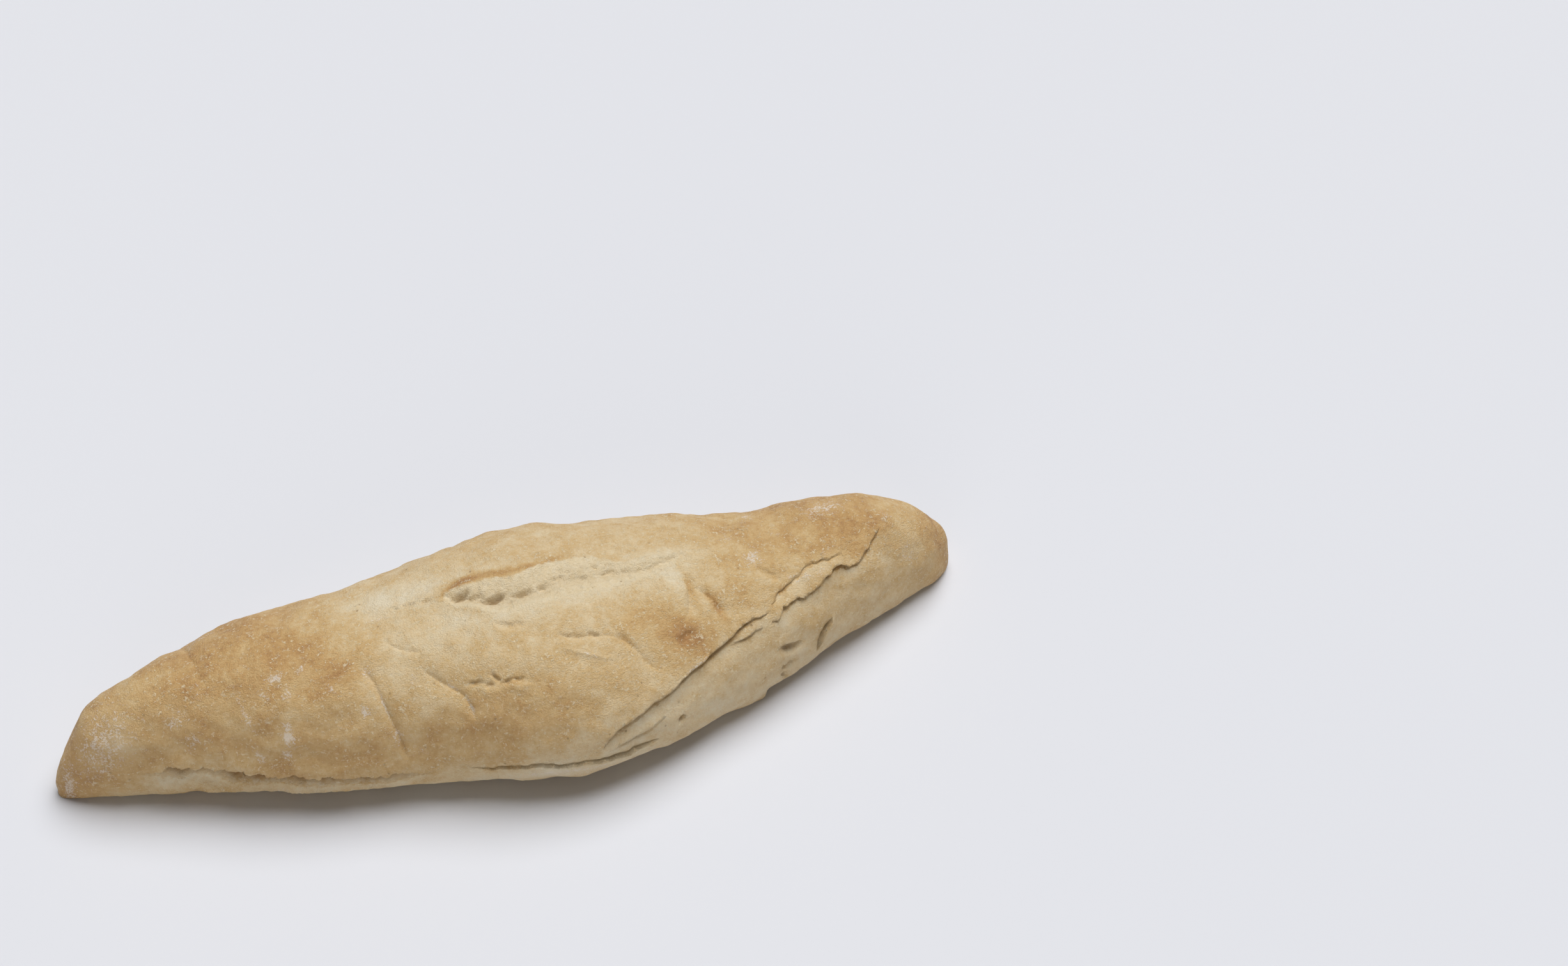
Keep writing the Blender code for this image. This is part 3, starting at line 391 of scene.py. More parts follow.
FLOURED = (
    (-122.6, -44.6, 13, 13, 0.60),
    (-134, -71.9, 3.5, 10, 0.72),
    (-101, -38.6, 3.4, 3.6, 0.62),
    (-97.4, -55.8, 5.0, 4.5, 0.44),
    (-93, -20, 2.0, 4.0, 0.40),
    (-81, -43.1, 1.7, 6.5, 0.58, 15),
    (-79.5, -68.6, 1.6, 4.0, 0.60, 20),
    (-70.7, -56.4, 2.2, 4.5, 0.86),
    (-71.8, -68.8, 1.8, 3.6, 0.62),
    (-71, -20.9, 3.2, 2.0, 0.74, 10),
    (-62.7, -15.7, 1.8, 2.6, 0.50),
    (-68.6, -30.6, 1.8, 3.4, 0.55),
    (-75.3, -30, 2.4, 2.2, 0.55),
    (-82, -31, 1.6, 4.5, 0.50, 15),
    (-56, -30, 2.2, 2.2, 0.50),
    (-48.1, -45.3, 1.8, 2.4, 0.72),
    (-44.4, -24.9, 2.2, 4.0, 0.55),
    (-42, -46, 0.7, 12, 0.58, 7),
    (-40.3, -62.7, 2.2, 4.0, 0.58),
    (-35.7, -70.7, 2.0, 3.0, 0.48),
    (-32.5, -31, 1.8, 3.5, 0.48),
    (-22.8, -38, 4.0, 0.7, 0.56, -40),
    (-18.3, -50, 0.7, 6.0, 0.66, 10),
    (-10, -41.5, 4.0, 0.6, 0.46, -20),
    (-19.7, -75.8, 1.6, 2.0, 0.42),
    (-37, 5, 6.0, 2.2, 0.40),
    (19, -34, 6.0, 0.6, 0.60, -32),
    (49, -55, 6.5, 0.8, 0.66, 26),
    (75, -6, 3.4, 3.4, 0.72),
    (102, 14, 10.0, 5.0, 0.56),
    (70, 10, 3.5, 2.5, 0.45),
    (78.5, 28, 3.5, 4.0, 0.50),
    (84, 5, 3.0, 2.0, 0.40),
    (90, -33, 9.0, 2.2, 0.44, 6),
    (97, -23, 5.0, 2.0, 0.40),
    (119, -8, 4.0, 3.0, 0.42),
    (84, -26.6, 4.0, 0.8, 0.50),
    (125, -50, 6.0, 7.0, 0.40),
    (6, -92, 22, 2.4, 0.62),
    (10, -100, 24, 5.0, 0.46),
    (-76, -108, 22, 1.2, 0.50, -2),
    (-88, 34, 9.0, 4.0, 0.45),
    (-60, 70, 14, 9.0, 0.50),
    (30, 66, 18, 8.0, 0.45),
    (112, 60, 9.0, 8.0, 0.45),
)
SOLE_FLOUR = 0.42
BARE_DEPTH = 0.8          # depth from which a crack shows all its crumb and torn skin
SHADE_DEPTH = 2.2         # depth at which a crack or pit is fully shaded
PIT_SHADE = 0.68
SHALLOW = 0.6             # depth that a pit has before its shade starts

# -------------------- colours, linear
CRUST_TONES = (          # from no browning to the deepest
    (0.00, (0.790, 0.685, 0.495)),
    (0.35, (0.740, 0.580, 0.352)),
    (0.65, (0.655, 0.455, 0.218)),
    (0.90, (0.565, 0.348, 0.142)),
    (1.20, (0.425, 0.228, 0.088)),
)
TONE_SPAN = 1.2
CRUMB_TONES = (
    (0.00, (0.590, 0.440, 0.230)),
    (0.40, (0.765, 0.620, 0.395)),
    (1.00, (0.855, 0.760, 0.575)),
)
SHADE_COLOUR = (0.42, 0.30, 0.16)
FLOUR_COLOUR = (0.83, 0.74, 0.63)
FLECK_COLOUR = (0.84, 0.72, 0.50)
SPECK_COLOUR = (0.33, 0.20, 0.09)
FLOOR_COLOUR = (0.690, 0.702, 0.745)

# -------------------- the crust's pattern
# Noises: waves to a millimetre, detail, roughness.
NOISES = dict(
    blotches=(0.13, 4.0, 0.62),
    mottles=(0.55, 4.0, 0.65),
    grains=(1.6, 3.0, 0.65),
    powder=(3.2, 3.0, 0.6),
    flakes=(0.95, 3.0, 0.75),
    breaks=(0.42, 3.0, 0.6),
)
TONE_NOISES = (("blotches", 1.1), ("mottles", 0.7), ("grains", 0.5))
FLOUR_NOISES = (("grains", 1.7), ("mottles", 1.3))
BUMP_NOISES = (("mottles", 0.7), ("grains", 1.1), ("powder", 0.7))
# Steps: the value at which a thing starts, the value at which it is full, and how full it gets.
TORN = (0.25, 0.75)
FLECKED = (0.585, 0.66, 0.72)
SPECKED = (0.13, 0.04)
SPECK_PATCHES = (0.48, 0.56, 0.7)
DUSTED = (0.42, 0.78, 0.80)
LINE_WIDTH = (0.024, 0.002)
LINE_BREAKS = (0.52, 0.62)
LINE_NOISE = (0.62, 3.0, 0.62)      # the noise whose middle level draws the flaking lines
LINE_STRETCH = 0.34                 # how much that noise is drawn out along the loaf
LINE_STRENGTH = 0.6
SPECK_SCALE = 0.22                  # specks to a millimetre
FLECK_HEIGHT = 0.35
BUMP_STRENGTH = 0.9
BUMP_HEIGHT = 0.4                   # millimetres
ROUGHNESS = (0.6, 0.25)             # of the bare crust, and what flour adds
CRUST_SPECULAR = 0.35
FLOOR_ROUGHNESS = 0.9
FLOOR_SPECULAR = 0.1

# -------------------- studio, metres and degrees
AIM = (0.1008, 0.0551, 0.0)      # point of the floor in the middle of the picture
CAMERA_AWAY = 1.4
CAMERA_AZIMUTH = -17.586
CAMERA_ELEVATION = 50.0
LENS = 102.94                    # millimetres, on a sensor 36 mm wide
SENSOR = 36.0
FLOOR_RADIUS = 6.0
SKY_COLOUR = (1.0, 0.985, 0.97)
SKY_STRENGTH = 0.11
LIGHTS = (                       # name, side it comes from, degrees across, strength, colour
    ("key", (0.46, 0.44, 1.72), 47.0, 3.22, (1.0, 1.0, 1.0)),
    ("fill", (-0.45, -1.0, 0.03), 60.0, 1.07, (1.0, 0.91, 0.78)),
)


# ==================== plain form
def through(x, knots, values):
    """The smooth curve through values at knots, read at x."""
    slopes = np.gradient(values, knots)
    x = np.clip(x, knots[0], knots[-1])
    i = np.clip(np.searchsorted(knots, x) - 1, 0, len(knots) - 2)
    gap = knots[i + 1] - knots[i]
    t = (x - knots[i]) / gap
    start = (2 * t**3 - 3 * t**2 + 1) * values[i] + (t**3 - 2 * t**2 + t) * gap * slopes[i]
    end = (3 * t**2 - 2 * t**3) * values[i + 1] + (t**3 - t**2) * gap * slopes[i + 1]
    return start + end


def smooth(t):
    """0 below 0, 1 above 1, and an even curve between."""
    t = np.clip(t, 0.0, 1.0)
    return t * t * (3.0 - 2.0 * t)


def signed_power(value, power):
    return np.sign(value) * np.abs(value) ** power


def tip_share(x):
    """Share of the full section that is left at x: 1 along the loaf, 0 at its tips."""
    left = np.clip((LEFT_TIP + LEFT_ROUNDING - x) / LEFT_ROUNDING, 0.0, 1.0)
    right = np.clip((x - RIGHT_TIP + RIGHT_ROUNDING) / RIGHT_ROUNDING, 0.0, 1.0)
    inward = np.maximum(left, right)
    return (1.0 - inward**TIP_POWER) ** (1.0 / TIP_POWER)


def plain_form(x, angle):
    """Points of the loaf without its relief, in millimetres."""
    turn = np.radians(angle)
    near, far, height = (through(x, STATIONS[:, 0], STATIONS[:, k]) for k in (1, 2, 3))
    share = tip_share(x)
    half = (near + far) / 2 * share
    height = height * (TIP_HEIGHT_SHARE + (1 - TIP_HEIGHT_SHARE) * share)
    belly = BELLY_SHARE * height
    above = np.abs(turn) <= np.pi / 2
    power = np.where(above, 2 / CROWN_POWER, 2 / BELLY_POWER)
    rise = np.abs(np.cos(turn)) ** power
    y = (far - near) / 2 + half * signed_power(np.sin(turn), power)
    z = np.where(above, belly + (height - belly) * rise, belly * (1 - rise))
    return np.stack([x + 0 * y, y, np.maximum(z - SOLE_PRESS, 0.0)], -1)


# ==================== the skin laid flat
COLUMNS = 241
COLUMN_X = LEFT_TIP + (RIGHT_TIP - LEFT_TIP) * (1 - np.cos(np.pi * np.linspace(0, 1, COLUMNS))) / 2
ANGLES = np.linspace(0.0, 180.0, 721)
HALF_SECTIONS = plain_form(COLUMN_X[:, None], -ANGLES[None, :])
STEPS = np.linalg.norm(np.diff(HALF_SECTIONS, axis=1), axis=2)
ARC = np.concatenate([np.zeros((COLUMNS, 1)), np.cumsum(STEPS, axis=1)], axis=1)
HALF_GIRTH = ARC[:, -1]
U_STEPS = np.hypot(np.diff(COLUMN_X), np.diff(HALF_GIRTH) / np.pi)
COLUMN_U = np.concatenate([[0.0], np.cumsum(U_STEPS)])
LENGTH = COLUMN_U[-1]
SHARES = np.linspace(0.0, 1.0, 361)
ANGLE_AT_SHARE = np.array([np.interp(SHARES * arc[-1], arc, ANGLES) for arc in ARC])
SOLE_SHARE = np.array([arc[np.argmax(z <= 0.0)] / arc[-1] for arc, z in zip(ARC, HALF_SECTIONS[..., 2])])


def read_table(table, row, column):
    """Bilinear reading of a table at fractional rows and columns."""
    i = np.clip(np.floor(row).astype(int), 0, table.shape[0] - 2)
    j = np.clip(np.floor(column).astype(int), 0, table.shape[1] - 2)
    a, b = row - i, column - j
    low = table[i, j] * (1 - b) + table[i, j + 1] * b
    high = table[i + 1, j] * (1 - b) + table[i + 1, j + 1] * b
    return low * (1 - a) + high * a


def lay_flat(x, angle):
    """(x, angle) on the loaf to (u, v) on the flat skin."""
    row = np.interp(x, COLUMN_X, np.arange(COLUMNS))
    v = np.sign(angle) * read_table(ARC, row, np.abs(angle) / 180.0 * (len(ANGLES) - 1))
    return np.stack([np.interp(x, COLUMN_X, COLUMN_U), v], -1)


def half_girth(u):
    return np.interp(u, COLUMN_U, HALF_GIRTH)


def wrap(flat):
    """(u, v) on the flat skin to points of the plain form."""
    u, v = flat[:, 0], flat[:, 1]
    row = np.interp(u, COLUMN_U, np.arange(COLUMNS))
    share = np.clip(np.abs(v) / half_girth(u), 0.0, 1.0)
    angle = np.sign(v) * read_table(ANGLE_AT_SHARE, row, share * (len(SHARES) - 1))
    return plain_form(np.interp(u, COLUMN_U, COLUMN_X), angle)


# ==================== routes on the flat skin
def route(places, step):
    """A smooth line through places, as points a step apart, with its values resampled.

    places holds rows of x, angle and any further values. Returns flat points, the same points'
    lengths along the line, and the further values there.
    """
    rows = np.array(places, float)
    knots = np.arange(len(rows), dtype=float)
    flat = lay_flat(rows[:, 0], rows[:, 1])
    fine = np.linspace(0, len(rows) - 1, 40 * len(rows))
    dense = np.stack([through(fine, knots, flat[:, k]) for k in (0, 1)], -1)
    run = np.concatenate([[0.0], np.cumsum(np.linalg.norm(np.diff(dense, axis=0), axis=1))])
    count = max(3, int(round(run[-1] / step)) + 1)
    at = np.interp(np.linspace(0, run[-1], count), run, fine)
    points = np.stack([np.interp(at, fine, dense[:, k]) for k in (0, 1)], -1)
    values = [np.interp(at, knots, column) for column in rows.T[2:]]
    return points, np.linspace(0, run[-1], count), values


def beside(line, flat):
    """For each flat point: distance to the line, positive on its upper side, and place along it."""
    best = np.full(len(flat), np.inf)
    side = np.zeros(len(flat))
    along = np.zeros(len(flat))
    run = 0.0
    for start, end in zip(line[:-1], line[1:]):
        edge = end - start
        size = np.hypot(*edge)
        off = flat - start
        t = np.clip(off @ edge / size**2, 0.0, 1.0)
        gap = np.hypot(*(off - t[:, None] * edge).T)
        closer = gap < best
        best[closer] = gap[closer]
        turn = edge[0] * off[:, 1] - edge[1] * off[:, 0]
        side[closer] = np.sign(turn[closer])
        along[closer] = run + t[closer] * size
        run += size
    return best * np.where(side == 0, 1.0, side), along


def upper_side(line):
    """Unit vectors across the line, towards its upper side."""
    along = np.gradient(line, axis=0)
    along /= np.linalg.norm(along, axis=1)[:, None]
    return np.stack([-along[:, 1], along[:, 0]], -1)


def wander(flat):
    """Seeded sideways wander of flat points, which makes the cracks ragged."""
    draw = np.random.default_rng(9)
    total = np.zeros_like(flat)
    for wave in WANDER_WAVE * 0.62 ** np.arange(WANDER_WAVES):
        for k in (0, 1):
            turn, phase = 2 * np.pi * draw.random(2)
            run = flat[:, 0] * np.cos(turn) + flat[:, 1] * np.sin(turn)
            total[:, k] += (wave / WANDER_WAVE) ** 0.75 * np.sin(2 * np.pi * run / wave + phase)
    return WANDER * total


def make_ragged(smooth_line, amount):
    """Points that lie on the smooth line once their own wander, times the amount, is added."""
    ragged = smooth_line - amount * wander(smooth_line)
    for _ in range(3):
        ragged = smooth_line - amount * wander(ragged)
    return ragged


# ==================== cracks
class Crack:
    """A burst in the crust: a bottom line, a lip above it and an edge below it."""

    def __init__(self, reach, walls, tuck, ragged, rows, blend=0.0, fray=0.5, crumb=0.0, shade=0.8,
                 pale=0.0):
        self.reach, self.walls, self.tuck, self.ragged, self.blend = reach, walls, tuck, ragged, blend
        self.looks, self.fray = dict(crumb=crumb, shade=shade, pale=pale), fray
        self.line, self.run, self.values = route(rows, ROUTE_STEP)

    def at(self, along):
        """Width above, width below, depth, lift and sinking at places along the crack."""
        return [np.interp(along, self.run, value) for value in self.values]

    def lines(self, step):
        """The bottom line, the lip and the lower edge, as flat points."""
        at = np.linspace(0, self.run[-1], int(round(self.run[-1] / step)) + 1)
        middle = np.stack([np.interp(at, self.run, self.line[:, k]) for k in (0, 1)], -1)
        across = upper_side(middle)
        up, down, *_ = self.at(at)
        yield make_ragged(middle, self.ragged)
        for reach in (up, -down):
            open_here = np.abs(reach) > MERGE
            if open_here.sum() > 1:
                yield make_ragged(middle + across * reach[:, None], self.ragged)[open_here]

    def wall(self, distance, up, down):
        """Share of the depth that is left out at a distance: 0 on the bottom line, 1 at the lips."""
        above = distance >= 0
        inward = np.abs(distance) / np.maximum(np.where(above, up, down), 1e-6)
        inward = np.clip(inward, 0, 1)
        wall = inward ** np.where(above, *self.walls)
        return np.where(above, wall, wall + self.blend * (smooth(inward) - wall))

    def relief(self, flat, stray):
        """Lift, cut and sideways shift at flat points, which the cracks' wander moves by stray."""
        distance, along = beside(self.line, flat + self.ragged * stray)
        up, down, depth, lift, sink = self.at(along)
        above = distance >= 0
        wall = self.wall(distance, up, down)
        lifted = lift * np.where(above, 1 - smooth((distance - up) / self.reach[0]), 0.0)
        sunk = sink * np.where(above, 0.0, 1 - smooth((-distance - down) / self.reach[1]))
        inside = wall < 1
        lifted = np.where(inside & above, lift * wall, lifted)
        cut = -np.where(inside, depth * (1 - wall) + np.where(above, 0.0, sink * wall), sunk)
        slide = np.where(inside, self.tuck * smooth(depth / TUCK_DEPTH) * (1 - wall), 0.0)
        return lifted, cut, slide

    def bare(self, flat, stray):
        """Shares of crumb, of shade deep in the crack and of pale torn skin below it, at flat points."""
        distance, along = beside(self.line, flat + self.ragged * stray)
        up, down, depth, *_ = self.at(along)
        open_here = smooth(depth / BARE_DEPTH)
        inside = smooth((np.where(distance > 0, up, down) - np.abs(distance)) / self.fray + 0.5)
        deep = smooth(depth * (1 - self.wall(distance, up, down)) / SHADE_DEPTH)
        below = (distance < -down) * (1 - smooth((-distance - down) / self.reach[1]))
        shares = dict(crumb=open_here * inside, shade=deep, pale=open_here * below)
        return {name: share * self.looks[name] for name, share in shares.items()}


# ==================== relief of the whole crust
def crease_depth(crease, flat):
    depth, half_width, places = crease
    line, run, _ = route(places, ROUTE_STEP)
    distance, along = beside(line, flat)
    ends = smooth(along / (3 * half_width)) * smooth((run[-1] - along) / (3 * half_width))
    soft = np.exp(-np.abs(distance / half_width) ** 1.4)
    sharp = np.exp(-np.abs(distance / (CREASE_CORE * half_width)))
    return -depth * ends * (0.6 * soft + 0.4 * sharp)


def from_place(flat, x, angle, turn):
    """Distances of flat points from a place on the loaf, along and across a turned axis."""
    off = flat - lay_flat(np.array(float(x)), np.array(float(angle)))
    c, s = np.cos(np.radians(turn)), np.sin(np.radians(turn))
    return off[:, 0] * c + off[:, 1] * s, off[:, 1] * c - off[:, 0] * s


def dent_depth(dent, flat):
    x, angle, half_length, half_width, depth, turn = dent
    along, across = from_place(flat, x, angle, turn)
    reach = half_width * np.where(across > 0, *DENT_SIDES)
    return -depth * np.exp(-((along / half_length) ** 2 + (across / reach) ** 2) ** DENT_EDGE)


def patch(flat, x, angle, half_length, half_width, amount, turn=0):
    """A soft patch of the skin: the amount in its middle, fading to 0 around it."""
    along, across = from_place(flat, x, angle, turn)
    return amount * np.exp(-(along / half_length) ** 2 - (across / half_width) ** 2)


def unevenness(points):
    """Slow, seeded waves that leave no stretch of crust quite even."""
    draw = np.random.default_rng(5)
    total = np.zeros(len(points))
    for wave in UNEVEN_WAVE * 0.72 ** np.arange(5):
        for _ in range(3):
            heading = draw.normal(size=3)
            heading /= np.linalg.norm(heading)
            phase = 2 * np.pi * draw.random()
            total += wave / UNEVEN_WAVE * np.sin(points @ heading * 2 * np.pi / wave + phase)
    return UNEVENNESS * total / 3


def skirt_reach(plain):
    """Outward reach of the flattened rim at the near side of the sole."""
    start, widest, stop, reach = SKIRT
    along = smooth((plain[:, 0] - start) / (widest - start)) * (plain[:, 0] < widest)
    along += (plain[:, 0] >= widest) * (1 - smooth((plain[:, 0] - widest) / (stop - widest)))
    near = plain[:, 1] < through(plain[:, 0], STATIONS[:, 0], (STATIONS[:, 2] - STATIONS[:, 1]) / 2)
    return reach * along * near * (1 - smooth(plain[:, 2] / SKIRT_HEIGHT)) * (plain[:, 2] > 0)


def field(points, size, seed):
    """Seeded smooth noise, mostly within -0.7 to 0.7, with lumps of that size."""
    return np.array([noise.noise(place) for place in (points / size + 37.0 * seed).tolist()])


def pore_share(points, size, seed):
    """1 in the middle of each pore of the crumb, 0 on its walls."""
    places = (points / size + 37.0 * seed).tolist()
    nearest = np.array([noise.voronoi(place)[0][0] for place in places])
    return 1 - smooth(nearest / PORE_REACH)


def grain(plain, crumb):
    """Height of the crust's lumps and wrinkles, and of the crumb's pores."""
    lumps = sum(height * field(plain, size, seed) for seed, (size, height) in enumerate(LUMPS))
    stray_size, reach = WRINKLE_STRAY
    stray = reach * np.stack([field(plain, stray_size, seed) for seed in (11, 12, 13)], -1)
    spacing, depth = WRINKLE
    wrinkles = depth * (1 - np.abs(field(plain + stray, spacing, 14))) ** WRINKLE_POWER
    worn = smooth(2 * field(plain, WORN_SIZE, 15) + 0.5)
    pores = sum(deep * pore_share(plain, size, 20 + seed) for seed, (size, deep) in enumerate(PORES))
    return lumps - wrinkles * worn * (1 - crumb) - pores * crumb


def relief(flat, plain, cracks, crumb):
    """Height over the plain form and sideways shift on the flat skin, for each flat point."""
    stray = wander(flat)
    height = unevenness(plain) + grain(plain, crumb)
    for swell in SWELLS:
        height += patch(flat, *swell)
    for crease in CREASES:
        height += crease_depth(crease, flat)
    for dent in PITS:
        height += dent_depth(dent, flat + stray)
    lifted, cut, shift = np.zeros(len(flat)), np.zeros(len(flat)), np.zeros((len(flat), 2))
    for crack in cracks:
        up, down, slide = crack.relief(flat, stray)
        lifted = np.maximum(lifted, up)
        moved = np.flatnonzero((slide != 0) & (down < cut))
        cut = np.minimum(cut, down)
        if len(moved):
            straight = (flat + crack.ragged * stray)[moved]
            gaps = [np.hypot(*(straight - place).T) for place in crack.line]
            shift[moved] = upper_side(crack.line)[np.argmin(gaps, axis=0)] * slide[moved, None]
    fade = smooth(plain[:, 2] / RELIEF_FADE)
    return (height + lifted + cut) * fade + skirt_reach(plain), shift * fade[:, None]


# ==================== browning, flour and crumb
def sole_share(flat):
    """1 on the sole, 0 on the crust above it."""
    rim = half_girth(flat[:, 0]) * np.interp(flat[:, 0], COLUMN_U, SOLE_SHARE)
    return smooth((np.abs(flat[:, 1]) - rim + 1.0) / 3.0)


def masks(flat, cracks):
    """Browning, flour, crumb and shade of each flat point, by name."""
    stray = wander(flat)
    browning = np.full(len(flat), BROWNING)
    flour = np.zeros(len(flat))
    bare = dict(crumb=flour, shade=flour, pale=flour)
    for browned in BROWNED_AND_SHADED:
        browning += patch(flat, *browned)
    for floured in FLOURED:
        flour = np.maximum(flour, patch(flat, *floured))
    for crack in cracks:
        for name, share in crack.bare(flat, stray).items():
            bare[name] = np.maximum(bare[name], share)
    for pit in PITS:
        deep = smooth((-dent_depth(pit, flat + stray) - SHALLOW) / SHADE_DEPTH)
        bare["shade"] = np.maximum(bare["shade"], PIT_SHADE * deep)
    sole = sole_share(flat)
    browning = (browning - bare["pale"]) * (1 - sole) + SOLE_BROWNING * sole
    flour = flour * (1 - sole) + SOLE_FLOUR * sole
    above = {name: bare[name] * (1 - sole) for name in ("crumb", "shade")}
    return dict(browning=browning, flour=flour, **above)


# ==================== points on the flat skin
def cell_size(flat, cracks, creases):
    """Wanted distance between neighbouring points, for each flat point."""
    u, v = flat[:, 0], flat[:, 1]
    past_rim = np.abs(v) - half_girth(u) * np.interp(u, COLUMN_U, SOLE_SHARE)
    size = np.clip(CRUST_CELL + 0.5 * past_rim, CRUST_CELL, SOLE_CELL)
    size = np.minimum(size, TIP_CELL + 0.12 * np.minimum(u, LENGTH - u))
    for line in creases:
        distance = np.abs(beside(line, flat)[0])
        size = np.minimum(size, CREASE_CELL + CELL_GROWTH * np.maximum(distance - CREASE_MARGIN, 0))
    for dent in PITS:
        x, angle, half_length, half_width, _, turn = dent
        along, across = from_place(flat, x, angle, turn)
        outside = np.hypot(along, across * half_length / half_width) - half_length
        size = np.minimum(size, CRACK_CELL + CELL_GROWTH * np.maximum(outside, 0))
    stray = wander(flat)
    for crack in cracks:
        distance, along = beside(crack.line, flat + crack.ragged * stray)
        up, down, *_ = crack.at(along)
        outside = np.maximum(np.where(distance > 0, distance - up, -distance - down), 0)
        size = np.minimum(size, CRACK_CELL + CELL_GROWTH * outside)
    return size


def rim_points(cracks, creases):
    """The near half of the flat skin's edge, from tip to tip; the far half mirrors it."""
    left = [(0.0, -v) for v in np.linspace(0, half_girth(0.0), 4)]
    right = [(LENGTH, -v) for v in np.linspace(half_girth(LENGTH), 0, 4)]
    seam = []
    u = 0.0
    while True:
        here = np.array([(u, -half_girth(u))])
        u += 0.9 * cell_size(here, cracks, creases)[0]
        if u > LENGTH - TIP_CELL:
            break
        seam.append((u, -half_girth(u)))
    return np.array(left + seam + right)


def sole_rims(step):
    """The two lines where the loaf's wall leaves the floor."""
    u = np.linspace(0, LENGTH, int(LENGTH / step) + 1)[1:-1]
    v = half_girth(u) * np.interp(u, COLUMN_U, SOLE_SHARE)
    line = np.stack([u, v], -1)[inside_rim(np.stack([u, v], -1), MERGE * 2)]
    return [line, line * (1, -1)]


def grid_points(spacing, coarsest):
    """Points of a triangular grid over the flat skin, leaving out those of the grid twice as wide."""
    rows = int(HALF_GIRTH.max() / (spacing * ROW_RISE)) + 1
    columns = int(LENGTH / spacing) + 2
    row, column = np.meshgrid(np.arange(-rows, rows + 1), np.arange(columns), indexing="ij")
    u = (column + 0.5 * (row % 2)) * spacing
    v = row * spacing * ROW_RISE
    new = np.ones(row.shape, bool) if coarsest else ~((row % 2 == 0) & (column % 2 == (row // 2) % 2))
    return np.stack([u[new], v[new]], -1)


def inside_rim(flat, margin):
    u, v = flat[:, 0], flat[:, 1]
    reach = np.minimum(half_girth(u - margin), half_girth(u + margin)) - margin
    return (np.abs(v) < reach) & (u > margin) & (u < LENGTH - margin)


def inner_points(rim, lines, cracks, creases):
    """Points inside the flat skin, closer together where the cells are smaller."""
    draw = np.random.default_rng(3)
    kept = []
    spacing = SOLE_CELL
    while spacing > 0.8 * CRACK_CELL:
        points = grid_points(spacing, spacing == SOLE_CELL)
        points = points[inside_rim(points, SCATTER * spacing)]
        size = cell_size(points, cracks, creases)
        wanted = (spacing == SOLE_CELL) | (size < 0.72 * 2 * spacing)
        points, size = points[wanted], size[wanted]
        kept.append(points + (draw.random(points.shape) - 0.5) * SCATTER * spacing)
        spacing /= 2
    points = np.concatenate(kept)
    size = np.minimum(cell_size(points, cracks, creases), SOLE_CELL)
    fixed = np.concatenate([rim, rim * (1, -1)] + lines)
    nearest = KDTree(len(fixed))
    for index, place in enumerate(fixed):
        nearest.insert((*place, 0.0), index)
    nearest.balance()
    clear = np.array([nearest.find((*point, 0.0))[2] for point in points])
    return points[clear > CLEARANCE * size]


def triangles(rim, lines, inner):
    """Join everything into triangles, and glue the two halves of the rim together.

    Returns the flat points, the triangles, and the same triangles before the gluing.
    """
    far_rim = rim[1:-1][::-1] * (1, -1)
    border = np.concatenate([rim, far_rim])
    points, edges = [border], []
    count = len(border)
    for line in lines:
        edges += [(count + i, count + i + 1) for i in range(len(line) - 1)]
        points.append(line)
        count += len(line)
    points.append(inner)
    corners = [Vector(p) for p in np.concatenate(points)]
    out, _, faces, origins, _, _ = delaunay_2d_cdt(corners, edges, [list(range(len(border)))], 1, MERGE)
    glued = np.arange(len(out))
    place = {source: index for index, sources in enumerate(origins) for source in sources}
    for k in range(len(far_rim)):
        glued[place[len(rim) + k]] = place[len(rim) - 2 - k]
    joined = [tuple(glued[list(face)]) for face in faces]
    seen = Counter(frozenset(face) for face in joined)
    kept = [k for k, face in enumerate(joined) if seen[frozenset(face)] == 1]
    return np.array([tuple(p) for p in out]), [joined[k] for k in kept], [faces[k] for k in kept]


# ==================== the loaf
def new_object(name, data):
    """A new object, in the scene."""
    item = bpy.data.objects.new(name, data)
    bpy.context.scene.collection.objects.link(item)
    return item


def normals(points, faces):
    """Outward unit normals at the points of a closed mesh."""
    faces = np.array(faces)
    a, b, c = (points[faces[:, k]] for k in range(3))
    across = np.cross(b - a, c - a)
    total = np.zeros_like(points)
    for k in range(3):
        np.add.at(total, faces[:, k], across)
    return total / np.maximum(np.linalg.norm(total, axis=1)[:, None], 1e-9)


def loaf_skin():
    """The loaf's points in millimetres, its triangles, its flat points and its masks."""
    cracks = [Crack(**crack) for crack in CRACKS]
    creases = [route(places, ROUTE_STEP)[0] for _, _, places in CREASES]
    rim = rim_points(cracks, creases)
    lines = [line for crack in cracks for line in crack.lines(CRACK_CELL)] + sole_rims(CRUST_CELL)
    inner = inner_points(rim, lines, cracks, creases)
    flat, faces, flat_faces = triangles(rim, lines, inner)
    plain = wrap(flat)
    looks = masks(flat, cracks)
    height, shift = relief(flat, plain, cracks, looks["crumb"])
    points = wrap(flat + shift) + normals(plain, faces) * height[:, None]
    points[plain[:, 2] <= 0, 2] = 0.0
    points[:, 2] = np.maximum(points[:, 2], 0.0)
    return points, faces, flat[np.array(flat_faces)], looks


def floor_middle(points):
    """The point of the floor under the middle of the loaf's box."""
    middle = (points.min(0) + points.max(0)) / 2
    return np.array([middle[0], middle[1], 0.0])


